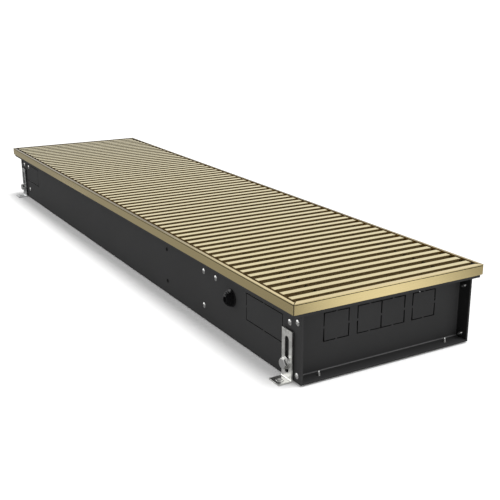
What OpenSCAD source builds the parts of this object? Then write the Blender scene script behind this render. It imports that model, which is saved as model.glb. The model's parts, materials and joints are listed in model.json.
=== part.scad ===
// Trench convector heater: a black sheet trough with adjustable feet, a brass-coloured frame
// and roll-up grille, and inside it a finned copper exchanger, a cross-flow fan with its motor
// and a terminal box. X runs along the heater, its near end at +X. Y runs across it, with the
// cable entry at -Y. Z is up. The origin is on the floor at the middle of the footprint.

/* [Overall size] */
// Length over the frame
unit_len = 1200; // [1100:10:1400]
// Width over the frame
unit_w = 300; // [290:2:340]
// Height from the floor to the top of the frame
unit_h = 110; // [106:1:130]

/* [Trough] */
// Thickness of the trough's sheet
sheet_t = 1.2; // [0.8:0.1:1.6]
// Room under the trough's floor for the screw heads
under_gap = 1.8; // [1.7:0.1:4]
// Distance in from the frame's side to the outside of a side wall
wall_inset = 15; // [14:0.5:20]
// Distance in from the frame's end to the end of a side wall
wall_end_inset = 4; // [4:0.5:8]
// Depth of the recess at each end, from the walls' ends to the end panel
recess_depth = 20; // [18:1:24]
// Distance in from the frame's edge to the outside of the trough's turned-down lip
lip_inset = 2.5; // [2:0.5:4]
// Height of the turned-down lip
lip_h = 4.5; // [3:0.5:8]
// Height of the floor pan's turned-up edges
pan_edge_h = 10; // [6:1:14]

/* [Knock-outs] */
// Width of one end knock-out
knock_w = 38; // [30:1:42]
// Height of one end knock-out
knock_h = 37; // [30:1:39]
// Distance from the frame's underside down to the knock-outs' upper edge
knock_drop = 16.5; // [13:0.5:20]
// Distance from the middle pair of end knock-outs to the single one at each side
knock_gap = 13.5; // [8:0.5:16]
// Width of the wide knock-out in a side wall
side_knock_w = 88; // [60:1:96]
// Distance from the side wall's end to the near edge of its wide knock-out
side_knock_in = 43; // [42:1:50]
// Width of a cut line
cut_w = 1.2; // [0.8:0.1:1.5]
// Length of the small bridges that hold a knock-out
bridge_w = 3; // [2:0.5:5]

/* [Frame] */
// Height of the frame's rails
rail_h = 14; // [13:0.5:16]
// Thickness of the rails' upright face
rail_t = 2; // [1.5:0.1:2.5]
// Width of the lip on top of the long rails
side_lip_w = 4.1; // [3:0.1:5]
// Width of the lip on top of the end rails
end_lip_w = 7.6; // [5:0.1:8]
// Thickness of that lip
rail_lip_t = 1.2; // [0.8:0.1:1.5]
// Height of the shadow groove under the lip
groove_h = 0.8; // [0.5:0.1:1.2]
// Depth of the shadow groove
groove_d = 1; // [0.4:0.1:1]
// Reach of the rails' lower leg from the frame's outside
leg_reach = 13; // [12:0.5:15]
// Thickness of the lower leg
leg_t = 1.4; // [1:0.1:2]
// Distance from each mitre cut to the corner's diagonal
mitre_gap = 0.5; // [0.2:0.1:0.8]

/* [Grille] */
// Width of a slat's top
slat_w = 9.1; // [7:0.1:11]
// Distance from slat to slat, rounded so that the slats fill the frame
slat_pitch_aim = 19.3; // [17:0.1:24]
// Distance from the frame's end to the middle of the first slat
slat_first = 20.5; // [19:0.5:24]
// Gap between a long rail's lip and the slats' ends
slat_end_gap = 3.9; // [3:0.1:4.5]
// Distance of the slats' tops below the top of the frame
slat_drop = 0.2; // [0:0.1:0.6]
// Thickness of the slat's cap
slat_cap_t = 1.8; // [1.2:0.1:2.4]
// Width of the chamfer under each side of the cap
slat_chamfer = 1.2; // [0.2:0.1:1.2]
// Thickness of the slat's web
slat_web_t = 3; // [2:0.1:4]
// Width of the slat's foot
slat_foot_w = 7; // [5:0.1:8]
// Thickness of the slat's foot
slat_foot_t = 1.5; // [1:0.1:2]
// Radius of the rods that string the slats together
rod_r = 1.5; // [1:0.1:2]
// Distance of each rod from the grille's middle line
rod_y = 95; // [60:1:120]
// Outer radius of the spacer sleeves on the rods
sleeve_r = 3; // [2.4:0.1:3.2]
// Width of the rubber strips that the slats rest on
strip_w = 5; // [4:0.5:5.5]
// Thickness of the rubber strips
strip_t = 1.2; // [0.8:0.1:1.6]

/* [Feet] */
// Width of a foot bracket
foot_w = 22.4; // [20:0.2:26]
// Thickness of a foot bracket
foot_t = 2; // [1.5:0.1:2.5]
// Distance from the upper fixings down to the top of a foot bracket
foot_drop = 8.5; // [6:0.5:12]
// Reach of the foot's plate beyond the bracket's upright
foot_reach = 18; // [16:1:24]
// Distance from the frame's end to the feet on the cable side
front_foot_in = 31; // [31:0.5:36]
// Distance from the frame's end to the feet on the other side
rear_foot_in = 85; // [80:1:100]
// Width of the height slot
slot_w = 9; // [8.8:0.1:10]
// Height of the slot's lower end
slot_low = 9.7; // [8:0.1:11]
// Distance from a foot's top down to the slot's upper end
slot_top_in = 8.4; // [8:0.1:11]
// Height of the clamp bolt
bolt_z = 23; // [20:0.5:28]
// Radius of the clamp bolt
bolt_r = 4; // [3.5:0.1:4.1]
// Width of its head across the flats
bolt_af = 13; // [11:0.5:14]
// Thickness of its head
bolt_head_t = 5.3; // [4:0.1:6]
// Outer radius of the washer
washer_r = 8; // [7.5:0.1:9]
// Thickness of the washer
washer_t = 1.6; // [1:0.1:2]
// Thickness of the rivet nut's flange
nut_flange_t = 1.8; // [1.2:0.1:2.2]
// Radius of the rivet nut's flange
nut_flange_r = 7; // [6.5:0.1:8]
// Radius of the rivet nut's body
nut_body_r = 5.2; // [5:0.1:5.3]
// Length of the rivet nut's body
nut_len = 15; // [12:0.5:18]
// Radius of the hole in the foot's plate
foot_hole_r = 3.3; // [2.5:0.1:4.5]

/* [Screws and rivets] */
// Radius of a sheet screw's shank
screw_r = 2.1; // [1.6:0.1:2.4]
// Length of its shank
screw_len = 9.5; // [7:0.5:10]
// Radius of its head
screw_head_r = 4; // [3.2:0.1:4.5]
// Thickness of its head
screw_head_t = 1.5; // [1:0.1:1.6]
// Radius of a rivet
rivet_r = 1.6; // [1.2:0.1:2]
// Radius of a rivet's head
rivet_head_r = 3.2; // [2.6:0.1:3.6]
// Thickness of a rivet's head
rivet_head_t = 1; // [0.6:0.1:1.2]
// Radius of the frame's fixing screws
frame_screw_r = 1.3; // [1:0.1:1.4]
// Head radius of the frame's fixing screws
frame_screw_head_r = 2.3; // [2:0.1:2.4]

/* [Exchanger] */
// Outer radius of the copper tubes
tube_r = 6; // [5:0.1:7]
// Wall of the copper tubes
tube_wall = 0.8; // [0.6:0.1:1.2]
// Distance between the tubes' three columns
tube_col = 40; // [34:1:42]
// Distance between the tubes' two rows
tube_row = 28; // [26:1:30]
// Distance of the exchanger's middle below the middle of the room under the slats
tube_drop = 2.85; // [1:0.05:4]
// Distance from the inner plates' ends in to the middle column of tubes
tube_in = 77.6; // [74:0.1:82]
// Reach of the fins beyond the middles of the outer tubes
fin_margin = 14; // [12:0.5:16]
// Distance from fin to fin
fin_pitch_aim = 6; // [5:0.5:10]
// Thickness of a fin
fin_t = 0.5; // [0.3:0.1:0.8]
// Length of the two pipes beyond the divider, up to their connection blocks
pipe_out = 32; // [24:1:40]
// Side of a square connection block
block_side = 30; // [27:1:32]
// Length of a connection block
block_len = 28; // [24:1:34]
// Radius of the connection thread's bore
thread_r = 9.3; // [7:0.1:10]
// Depth of the connection thread
thread_depth = 15; // [12:1:18]
// Radius of the air vent's body
vent_r = 5; // [4:0.1:6]
// Height of the air vent's body
vent_h = 9; // [7:0.5:10]
// Radius of the air vent's screw
vent_screw_r = 2.5; // [2:0.1:3]

/* [Inside plates] */
// Distance from the frame's near end to the divider's screws
divider_in = 256.7; // [230:1:300]
// Distance from the frame's near end to the middle plate's rivets
mid_plate_in = 381.5; // [376:0.5:420]
// Distance from the frame's far end to the far plate's screws
far_plate_in = 65; // [60:1:80]
// Width of the plates' folded edges
fold_w = 15; // [12:0.5:18]
// Distance from the frame's underside down to the upper fixings
fix_drop = 21.5; // [20:0.5:26]
// Height of the lower fixings above the floor
fix_low_z = 23; // [20:0.5:26]

/* [Fan] */
// Distance from the inner plates' ends in to the fan's axis
fan_in = 44.6; // [40:0.1:48]
// Share of the spare height that lies under the fan's casing
fan_low_share = 0.35; // [0.25:0.01:0.5]
// Outer radius of the impeller
fan_r = 30; // [26:1:31]
// Inner radius of the blades
blade_in_r = 23; // [20:0.5:25]
// Thickness of a blade
blade_t = 0.8; // [0.6:0.1:1.2]
// Angle between a blade's inner and outer edge, seen from the axis
blade_lean = 24; // [10:1:30]
// Number of blades
blade_count = 24; // [16:1:32]
// Thickness of an impeller disc
disc_t = 2; // [1.5:0.1:3]
// Radius of the fan's shaft
shaft_r = 4; // [3:0.1:5]
// Outer radius of a shaft bearing
bearing_r = 11; // [9:0.5:12]
// Width of a shaft bearing
bearing_w = 8; // [6:0.5:10]
// Inner radius of the casing
casing_r = 34; // [33:0.5:35]
// Thickness of the casing's sheet
casing_t = 1; // [0.8:0.1:1.2]
// Radius of the motor
motor_r = 28; // [24:1:30]
// Length of the motor
motor_len = 66; // [56:1:68]
// Radius of the motor's nose
nose_r = 12; // [10:0.5:14]
// Length of the motor's nose
nose_len = 4; // [3:0.5:6]
// Radius of the motor's shaft
motor_shaft_r = 3; // [2.5:0.1:4]
// Outer radius of the rubber coupling
coupling_r = 9; // [8:0.5:10]
// Length of the rubber coupling
coupling_len = 18; // [16:0.5:20]

/* [Electrics] */
// Length of the terminal box
term_len = 60; // [50:1:66]
// Depth of the terminal box from the wall
term_deep = 42; // [36:1:46]
// Height of the terminal box's lower side
term_z = 28; // [20:1:32]
// Distance from the frame's underside down to the box's upper side, without its lid
term_drop = 18; // [14:0.5:20]
// Wall of the terminal box
term_wall = 2; // [1.5:0.1:2.5]
// Distance from the divider's screws to the box's fixing screw
term_screw_dx = 36; // [30:1:44]
// Distance from the frame's near end to the cable grommet
grommet_in = 175; // [168:1:180]
// Height of the cable grommet
grommet_z = 60; // [52:1:62]
// Radius of the grommet's foot
grommet_r = 12.5; // [11:0.5:14]
// Length of the grommet's ribbed cone
grommet_len = 11; // [9:0.5:13]
// Radius of the grommet's bore
grommet_bore_r = 4; // [3:0.1:4.5]
// Radius of the motor's lead
lead_r = 3; // [2.5:0.1:3.5]

/* [Hidden] */
$fn = 40;

// Clearances, and the one overrun that cuts share
fit_gap = 0.1;
run_gap = 0.05;
seat_gap = 0.3;
step_gap = 1;
over = 1;

// Main planes of the trough and the frame
half_len = unit_len / 2;
half_w = unit_w / 2;
wall_y = half_w - wall_inset;
wall_in_y = wall_y - sheet_t;
plate_y = wall_in_y - sheet_t;
wall_end_x = half_len - wall_end_inset;
panel_x = wall_end_x - recess_depth;
floor_top = under_gap + sheet_t;
pan_edge_top = floor_top + pan_edge_h;
frame_z = unit_h - rail_h;
flange_z = frame_z - sheet_t;
lip_x = half_len - lip_inset;
lip_y = half_w - lip_inset;
plate_top = flange_z - seat_gap;
fix_high_z = frame_z - fix_drop;
knock_z = frame_z - knock_drop - knock_h;

// Inner plates, each placed by the fixings in its folded edges
divider_fix_x = half_len - divider_in;
middle_fix_x = half_len - mid_plate_in;
far_fix_x = -half_len + far_plate_in;
divider_x = divider_fix_x - fold_w / 2;
middle_x = middle_fix_x - fold_w / 2;
far_x = far_fix_x + fold_w / 2;

// Knock-outs: the middle pair shares a cut line
side_knock_x = wall_end_x - side_knock_in - side_knock_w / 2;
end_knock_ys = [for (k = [1.5, 0.5]) each [-1, 1] * (knock_w * k + (k > 1 ? knock_gap : 0))];

// Fixing places as [x, height above the floor]
foot_front_x = half_len - front_foot_in;
foot_rear_x = half_len - rear_foot_in;
corner_x = wall_end_x - recess_depth / 2;
corner_high_z = fix_high_z + screw_head_r + step_gap;
corner_low_z = floor_top + screw_head_r * 2;
wall_fixes = [[corner_x, corner_high_z], [corner_x, corner_low_z], [foot_front_x, fix_high_z],
    [divider_fix_x, fix_high_z], [divider_fix_x, fix_low_z], [far_fix_x, fix_high_z],
    [far_fix_x, fix_low_z], [-foot_front_x, fix_high_z]];
term_fix = [divider_fix_x + term_screw_dx, fix_high_z];
rivet_fixes = [[middle_fix_x, fix_high_z], [middle_fix_x, fix_low_z], [-corner_x, corner_high_z],
    [-corner_x, corner_low_z]];

// Grille, its rest and the frame's fixing screws
slat_top = unit_h - slat_drop;
strip_z = frame_z + leg_t;
slat_low = strip_z + strip_t + fit_gap;
slat_half = half_w - side_lip_w - slat_end_gap;
slat_span = unit_len - slat_first * 2;
slat_gaps = round(slat_span / slat_pitch_aim);
slat_pitch = slat_span / slat_gaps;
slat_cap_z = slat_top - slat_cap_t;
rod_z = (slat_low + slat_foot_t + slat_cap_z) / 2;
frame_screw_in = lip_inset + sheet_t + frame_screw_r + fit_gap * 2;
frame_screw_len = leg_t + sheet_t + frame_screw_head_r;
frame_screw_head_t = frame_screw_head_r / 2;
frame_screw_count = 6;
side_screw_xs = [for (i = [0:frame_screw_count - 1])
    (i / (frame_screw_count - 1) - 0.5) * (unit_len - slat_first * 6)];
end_screw_y = half_w * 0.5;
strip_out_y = half_w - frame_screw_in - frame_screw_head_r - fit_gap;
key_t = rail_t * 0.8;
key_len = leg_reach * 1.4;
mitre_len = leg_reach * 3;

// Feet and their clamp bolts
foot_h = fix_high_z - foot_drop;
slot_high = foot_h - slot_top_in;
foot_y = wall_y + nut_flange_t + fit_gap;
foot_out_y = foot_y + foot_t;
bolt_seat_y = foot_out_y + washer_t + fit_gap * 2;
bolt_tip_y = wall_y - nut_len + step_gap;
foot_bend_r = foot_t * 2;
foot_hole_y = foot_out_y + foot_reach / 2;
foot_ring_r = foot_hole_r * 1.6;
foot_ring_h = foot_t * 0.3;

// Exchanger
tube_mid_y = plate_y - tube_in;
tube_mid_z = (floor_top + slat_low) / 2 - tube_drop;
tube_ys = [tube_mid_y - tube_col, tube_mid_y, tube_mid_y + tube_col];
tube_zs = [tube_mid_z - tube_row / 2, tube_mid_z + tube_row / 2];
fins_from = far_x + fin_pitch_aim;
fin_gaps = round((middle_x - fin_pitch_aim - fins_from) / fin_pitch_aim);
fin_pitch = (middle_x - fin_pitch_aim - fins_from) / fin_gaps;
tube_far_x = far_x - sheet_t - step_gap;
tube_near_x = middle_x + sheet_t + step_gap;
block_x = divider_x + sheet_t + pipe_out;
vent_x = block_x + block_len * 0.35;
vent_z = tube_zs[1] + block_side / 2;
vent_screw_deep = vent_h * 0.7;
vent_head_r = vent_r * 0.8;
vent_head_h = vent_screw_r;

// Fan, from the far plate over the centre bracket to the motor
casing_out_r = casing_r + casing_t;
fan_y = plate_y - fan_in;
fan_z = floor_top + casing_out_r + (slat_low - floor_top - casing_out_r * 2) * fan_low_share;
centre_x = (far_x + middle_x) / 2;
bearing_half = bearing_w / 2;
impeller_gap = sheet_t + bearing_half + step_gap;
hub_r = shaft_r * 2;
coupling_x = middle_x + sheet_t + bearing_w;
coupling_mid_x = coupling_x + coupling_len / 2;
coupling_end_x = coupling_x + coupling_len;
nose_x = coupling_end_x + step_gap;
motor_x = nose_x + nose_len;
motor_end_x = motor_x + motor_len;
motor_bore_end = motor_x + nose_len * 2;
motor_plate_half = motor_r * 1.05;
motor_plate_top = fan_z + motor_r * 0.8;
motor_screw_at = motor_r * 0.68;
motor_screw_r = motor_shaft_r * 0.5;
motor_screw_len = nose_len * 1.5;
outlet_y = tube_ys[0] - fin_margin - fit_gap;
centre_top_z = fan_z + fan_r * 0.9;
// Straight stretches in a blade's outline, and how much it bows as a share of its lean
blade_steps = 4;
blade_bow_share = 0.12;

// Floor fixing places as [x, y]: two in a plate's bottom fold, and those of the fan's brackets
floor_fix_y = plate_y - fold_w * 2;
function fold_fixes(x) = [[x, -floor_fix_y], [x, floor_fix_y]];
motor_fixes = [for (s = [-1, 1]) [motor_x + fold_w / 2, -fan_y + s * motor_r / 2]];
centre_fix = [centre_x + sheet_t + fold_w / 2, -fan_y];
floor_fixes = concat(fold_fixes(corner_x), fold_fixes(divider_fix_x), fold_fixes(middle_fix_x),
    fold_fixes(far_fix_x), fold_fixes(-corner_x), motor_fixes, [centre_fix]);

// Terminal box against the front wall, and the motor's lead into it
term_x = term_fix[0] - term_len * 0.45;
term_front_y = -wall_in_y;
term_back_y = term_front_y + term_deep;
term_top = frame_z - term_drop;
term_h = term_top - term_z;
term_lid_t = term_wall * 1.5;
term_block_margin = term_wall * 4;
term_block_h = term_h * 0.3;
term_screw_head = term_wall * 1.1;
term_screw_count = 3;
term_block_low = [term_x + term_block_margin, term_front_y + term_block_margin, term_z + term_wall];
term_block_high = [term_x + term_len - term_block_margin, term_back_y - term_block_margin,
    term_z + term_wall + term_block_h];
lid_screw_xs = [term_x + term_wall * 3, term_x + term_len - term_wall * 3];
lead_y = -fan_y - motor_r * 0.5;
lead_z = fan_z + motor_r * 0.28;
lead_rim = lead_r * 0.5;

// Cable grommet
grommet_x = half_len - grommet_in;
grommet_neck_r = grommet_r * 0.7;
grommet_foot_t = grommet_len * 0.16;

// Share of a head's radius at the top of its dome
dome_share = 0.55;
// Shares of the grommet's length and radius at each step of its cone
cone_step_shares = [[0.34, 0.86], [0.52, 0.76], [0.68, 0.67], [0.84, 0.58], [1, 0.48]];

// A block between two opposite corners
module block_between(low, high) {
    translate(low) cube(high - low);
}

// A cylinder along X
module bar_x(from, to, y, z, r) {
    translate([from, y, z]) rotate([0, 90, 0]) cylinder(h = to - from, r = r);
}

// A cylinder along Y
module bar_y(x, from, to, z, r) {
    translate([x, from, z]) rotate([-90, 0, 0]) cylinder(h = to - from, r = r);
}

// Copies its child to both sides of the heater
module both_sides() {
    for (s = [0, 1]) mirror([0, s, 0]) children();
}

// A sheet screw: shank along -Z, domed head above zero
module sheet_screw(r, len, head_r, head_t) {
    cylinder(h = head_t / 2, r = head_r);
    translate([0, 0, head_t / 2]) cylinder(h = head_t / 2, r1 = head_r, r2 = head_r * dome_share);
    translate([0, 0, r - len]) cylinder(h = len - r, r = r);
    translate([0, 0, -len]) cylinder(h = r, r1 = r * dome_share, r2 = r);
}

// Cut lines of a knock-out in a sheet that stands along X, with a bridge in each side
module knock_cuts(w, h) {
    run_h = (h - bridge_w + cut_w) / 2;
    run_w = (w - bridge_w + cut_w) / 2;
    for (side = [-1, 1], part = [-1, 1]) {
        translate([side * w / 2, 0, part * (bridge_w + run_h) / 2])
            cube([cut_w, sheet_t + over * 2, run_h], center = true);
        translate([part * (bridge_w + run_w) / 2, 0, side * h / 2])
            cube([run_w, sheet_t + over * 2, cut_w], center = true);
    }
}

// The floor, with the edges that stand up inside the side walls
module floor_pan() color("#2e2e2e") difference() {
    edge_x = panel_x - sheet_t - fit_gap;
    union() {
        block_between([-wall_end_x, -wall_in_y, under_gap], [wall_end_x, wall_in_y, floor_top]);
        both_sides() block_between([-edge_x, plate_y, under_gap], [edge_x, wall_in_y, pan_edge_top]);
    }
    for (f = floor_fixes) floor_hole(f);
}

// A hole for a floor screw through the pan and a fold on it
module floor_hole(f) {
    translate([f[0], f[1], 0]) cylinder(h = floor_top + sheet_t + over, r = screw_r + fit_gap);
}

// One side wall, at +Y, with its flange and lip
module side_wall(holes, foot_x) difference() {
    union() {
        block_between([-wall_end_x, wall_in_y, under_gap], [wall_end_x, wall_y, frame_z]);
        block_between([-wall_end_x, wall_in_y, flange_z], [wall_end_x, lip_y, frame_z]);
        block_between([-wall_end_x, lip_y - sheet_t, frame_z - lip_h], [wall_end_x, lip_y, frame_z]);
    }
    for (f = holes) bar_y(f[0], wall_in_y - over, wall_y + over, f[1], screw_r + fit_gap);
    for (f = rivet_fixes) bar_y(f[0], wall_in_y - over, wall_y + over, f[1], rivet_r + fit_gap);
    for (s = [-1, 1]) {
        bar_y(s * foot_x, wall_in_y - over, wall_y + over, bolt_z, nut_body_r + fit_gap);
        translate([s * side_knock_x, wall_y - sheet_t / 2, knock_z + knock_h / 2])
            knock_cuts(side_knock_w, knock_h);
    }
    for (x = side_screw_xs) frame_screw_hole(x, half_w - frame_screw_in);
}

module frame_screw_hole(x, y) {
    translate([x, y, flange_z - over]) cylinder(h = leg_t + sheet_t + over * 2, r = frame_screw_r + fit_gap);
}

module side_wall_front() color("#333333") mirror([0, 1, 0]) difference() {
    side_wall(concat(wall_fixes, [term_fix]), foot_front_x);
    bar_y(grommet_x, wall_in_y - over, wall_y + over, grommet_z, grommet_neck_r + fit_gap);
}

module side_wall_rear() color("#333333") side_wall(wall_fixes, foot_rear_x);

// The end panel at +X: a tray that opens outwards, with a flange and lip under the frame
module end_panel() difference() {
    fold_x = wall_end_x - seat_gap;
    union() {
        block_between([panel_x - sheet_t, -wall_in_y, floor_top], [panel_x, wall_in_y, frame_z]);
        block_between([panel_x - sheet_t, -wall_in_y, flange_z], [lip_x, wall_in_y, frame_z]);
        block_between([lip_x - sheet_t, -lip_y, frame_z - lip_h], [lip_x, lip_y, frame_z]);
        block_between([panel_x - sheet_t, -plate_y, floor_top], [fold_x, plate_y, floor_top + sheet_t]);
        both_sides() block_between([panel_x - sheet_t, plate_y, floor_top], [fold_x, wall_in_y, frame_z]);
    }
    for (y = end_knock_ys) translate([panel_x - sheet_t / 2, y, knock_z + knock_h / 2])
        rotate([0, 0, 90]) knock_cuts(knock_w, knock_h);
    both_sides() {
        for (z = [corner_low_z, corner_high_z])
            bar_y(corner_x, plate_y - over, wall_in_y + over, z, screw_r + fit_gap);
        frame_screw_hole(half_len - frame_screw_in, end_screw_y);
    }
    for (f = fold_fixes(corner_x)) floor_hole(f);
}

module end_panel_near() color("#2f2f2f") end_panel();

module end_panel_far() color("#2f2f2f") mirror([1, 0, 0]) end_panel();

// A rail's section as [distance in from the frame's edge, height above the rail's foot]
function rail_points(lip_w) = [[0, 0], [leg_reach, 0], [leg_reach, leg_t], [rail_t, leg_t],
    [rail_t, rail_h - rail_lip_t], [lip_w, rail_h - rail_lip_t], [lip_w, rail_h], [0, rail_h],
    [0, rail_h - rail_lip_t], [groove_d, rail_h - rail_lip_t],
    [groove_d, rail_h - rail_lip_t - groove_h], [0, rail_h - rail_lip_t - groove_h]];

module rail_section(edge, lip_w) {
    polygon([for (p = rail_points(lip_w)) [edge - p[0], frame_z + p[1]]]);
}

// Removes one side of both mitres of the rail at +X or +Y; side is 1 for the long rails
module mitre_cuts(side) {
    for (end = [0, 1]) mirror(side > 0 ? [end, 0, 0] : [0, end, 0])
        translate([half_len, half_w, frame_z - over]) rotate([0, 0, 225])
            translate([-mitre_len, side > 0 ? -mitre_gap : -mitre_len, 0])
                cube([mitre_len * 2, mitre_len + mitre_gap, rail_h + over * 2]);
}

module long_rail() difference() {
    translate([-half_len, 0, 0]) rotate([90, 0, 90]) linear_extrude(unit_len)
        rail_section(half_w, side_lip_w);
    mitre_cuts(1);
    for (x = side_screw_xs) frame_screw_hole(x, half_w - frame_screw_in);
}

module end_rail() difference() {
    translate([0, half_w, 0]) rotate([90, 0, 0]) linear_extrude(unit_w)
        rail_section(half_len, end_lip_w);
    mitre_cuts(-1);
    both_sides() frame_screw_hole(half_len - frame_screw_in, end_screw_y);
}

module frame_rail_near() color("#c9ad6c") end_rail();

module frame_rail_far() color("#c9ad6c") mirror([1, 0, 0]) end_rail();

module frame_rail_front() color("#8c7d55") mirror([0, 1, 0]) long_rail();

module frame_rail_rear() color("#8c7d55") long_rail();

module frame_corner_keys() color("#1c1c1c") {
    key_top = unit_h - rail_lip_t - groove_h;
    in_x = half_len - rail_t - fit_gap;
    in_y = half_w - rail_t - fit_gap;
    both_sides() for (s = [0, 1]) mirror([s, 0, 0]) {
        block_between([in_x - key_len, in_y - key_t, strip_z], [in_x, in_y, key_top]);
        block_between([in_x - key_t, in_y - key_len, strip_z], [in_x, in_y, key_top]);
    }
}

module frame_screws() color("#b8b8b8") {
    places = concat([for (x = side_screw_xs, s = [-1, 1]) [x, s * (half_w - frame_screw_in)]],
        [for (sx = [-1, 1], sy = [-1, 1]) [sx * (half_len - frame_screw_in), sy * end_screw_y]]);
    for (p = places) translate([p[0], p[1], strip_z])
        sheet_screw(frame_screw_r, frame_screw_len, frame_screw_head_r, frame_screw_head_t);
}

module rest_strips() color("#1d1d1d") both_sides()
    block_between([-half_len + leg_reach + step_gap, strip_out_y - strip_w, strip_z],
        [half_len - leg_reach - step_gap, strip_out_y, strip_z + strip_t]);

// A slat's section: a cap with chamfers under its sides, a web and a foot
module slat_section() {
    side = [[slat_foot_w / 2, slat_low], [slat_foot_w / 2, slat_low + slat_foot_t],
        [slat_web_t / 2, slat_low + slat_foot_t], [slat_web_t / 2, slat_cap_z],
        [slat_w / 2 - slat_chamfer, slat_cap_z], [slat_w / 2, slat_cap_z + slat_chamfer],
        [slat_w / 2, slat_top]];
    polygon(concat(side, [for (i = [len(side) - 1:-1:0]) [-side[i][0], side[i][1]]]));
}

function slat_x(i) = slat_span / 2 - i * slat_pitch;

module grille_slats() color("#e3d2a2") difference() {
    for (i = [0:slat_gaps]) translate([slat_x(i), slat_half, 0]) rotate([90, 0, 0])
        linear_extrude(slat_half * 2) slat_section();
    both_sides() bar_x(-half_len, half_len, rod_y, rod_z, rod_r + fit_gap);
}

module grille_rods() color("#8f8f8f") both_sides()
    bar_x(slat_x(slat_gaps) - slat_web_t, slat_x(0) + slat_web_t, rod_y, rod_z, rod_r);

module grille_sleeves() color("#b79f66") both_sides() for (i = [1:slat_gaps]) difference() {
    from = slat_x(i) + slat_web_t / 2 + fit_gap;
    to = slat_x(i - 1) - slat_web_t / 2 - fit_gap;
    bar_x(from, to, rod_y, rod_z, sleeve_r);
    bar_x(from - over, to + over, rod_y, rod_z, rod_r + fit_gap);
}

// A plate across the trough: a sheet from zero to its thickness, with folds that run along +X
module cross_plate() difference() {
    union() {
        block_between([0, -plate_y, floor_top], [sheet_t, plate_y, plate_top]);
        block_between([0, -plate_y + fold_w, floor_top], [fold_w, plate_y - fold_w, floor_top + sheet_t]);
        both_sides() {
            block_between([0, plate_y - over, pan_edge_top + seat_gap], [sheet_t, wall_in_y, plate_top]);
            block_between([0, plate_y, pan_edge_top + seat_gap], [fold_w, wall_in_y, plate_top]);
        }
    }
    both_sides() for (z = [fix_low_z, fix_high_z])
        bar_y(fold_w / 2, plate_y - over, wall_in_y + over, z, screw_r + fit_gap);
    for (f = fold_fixes(fold_w / 2)) floor_hole(f);
}

module tube_holes(x) {
    for (y = tube_ys, z = tube_zs) bar_x(x - over, x + sheet_t + over, y, z, tube_r + fit_gap);
}

module bearing_hole(x) {
    bar_x(x - over, x + sheet_t + over, -fan_y, fan_z, bearing_r + fit_gap);
}

module divider_plate() color("#9c9f9f") difference() {
    translate([divider_x, 0, 0]) cross_plate();
    bar_x(divider_x - over, divider_x + sheet_t + over, tube_ys[0], tube_zs[0], tube_r + fit_gap);
    bar_x(divider_x - over, divider_x + sheet_t + over, tube_ys[2], tube_zs[1], tube_r + fit_gap);
    bar_x(divider_x - over, divider_x + sheet_t + over, lead_y, lead_z, lead_r + lead_rim + fit_gap);
}

module middle_plate() color("#9c9f9f") difference() {
    translate([middle_x, 0, 0]) cross_plate();
    tube_holes(middle_x);
    bearing_hole(middle_x);
}

module far_plate() color("#9c9f9f") difference() {
    translate([far_x, 0, 0]) mirror([1, 0, 0]) cross_plate();
    tube_holes(far_x - sheet_t);
    bearing_hole(far_x - sheet_t);
}

module fan_centre_bracket() color("#9c9f9f") difference() {
    union() {
        block_between([centre_x, -plate_y, floor_top], [centre_x + sheet_t, outlet_y, centre_top_z]);
        block_between([centre_x, -fan_y - hub_r, floor_top],
            [centre_x + sheet_t + fold_w, -fan_y + hub_r, floor_top + sheet_t]);
    }
    bearing_hole(centre_x);
    floor_hole(centre_fix);
}

module motor_bracket() color("#9c9f9f") difference() {
    union() {
        block_between([motor_x - sheet_t, -fan_y - motor_plate_half, floor_top],
            [motor_x, -fan_y + motor_plate_half, motor_plate_top]);
        block_between([motor_x - sheet_t, -fan_y - motor_plate_half, floor_top],
            [motor_x + fold_w, -fan_y + motor_plate_half, floor_top + sheet_t]);
    }
    bar_x(motor_x - sheet_t - over, motor_x + over, -fan_y, fan_z, nose_r + fit_gap);
    motor_screw_holes();
    for (f = motor_fixes) floor_hole(f);
}

// Places its children on the motor's fixing circle, at its front face
module on_motor_face() {
    for (a = [45:90:315]) translate([motor_x, -fan_y, fan_z]) rotate([a, 0, 0])
        translate([0, 0, motor_screw_at]) children();
}

module motor_screw_holes() {
    on_motor_face() bar_x(-sheet_t - over, motor_screw_len + fit_gap, 0, 0, motor_screw_r + fit_gap);
}

module exchanger_fins() color("#b9bcbe") difference() {
    for (i = [0:fin_gaps]) block_between(
        [fins_from + i * fin_pitch, tube_ys[0] - fin_margin, tube_zs[0] - fin_margin],
        [fins_from + i * fin_pitch + fin_t, tube_ys[2] + fin_margin, tube_zs[1] + fin_margin]);
    for (y = tube_ys, z = tube_zs) bar_x(far_x, middle_x, y, z, tube_r + fit_gap);
}

// Whether a tube runs on through the divider to a connection block
function runs_out(y, z) = (y == tube_ys[0] && z == tube_zs[0]) || (y == tube_ys[2] && z == tube_zs[1]);

module exchanger_tubes() color("#b06a41") for (y = tube_ys, z = tube_zs) difference() {
    to = runs_out(y, z) ? block_x : tube_near_x;
    bar_x(tube_far_x, to, y, z, tube_r);
    bar_x(tube_far_x - over, to + over, y, z, tube_r - tube_wall);
}

// Half of a ring of tube around Z, on its +Y side
module tube_bend(bend_r) {
    rotate_extrude(angle = 180) translate([bend_r, 0]) difference() {
        circle(r = tube_r);
        circle(r = tube_r - tube_wall);
    }
}

module exchanger_bends() color("#b06a41") {
    for (y = tube_ys) translate([tube_far_x, y, tube_mid_z])
        rotate([90, 0, 0]) rotate([0, 0, 90]) tube_bend(tube_row / 2);
    for (i = [0, 1]) translate([tube_near_x, (tube_ys[i] + tube_ys[i + 1]) / 2, tube_zs[1 - i]])
        rotate([0, 0, -90]) tube_bend(tube_col / 2);
}

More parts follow.
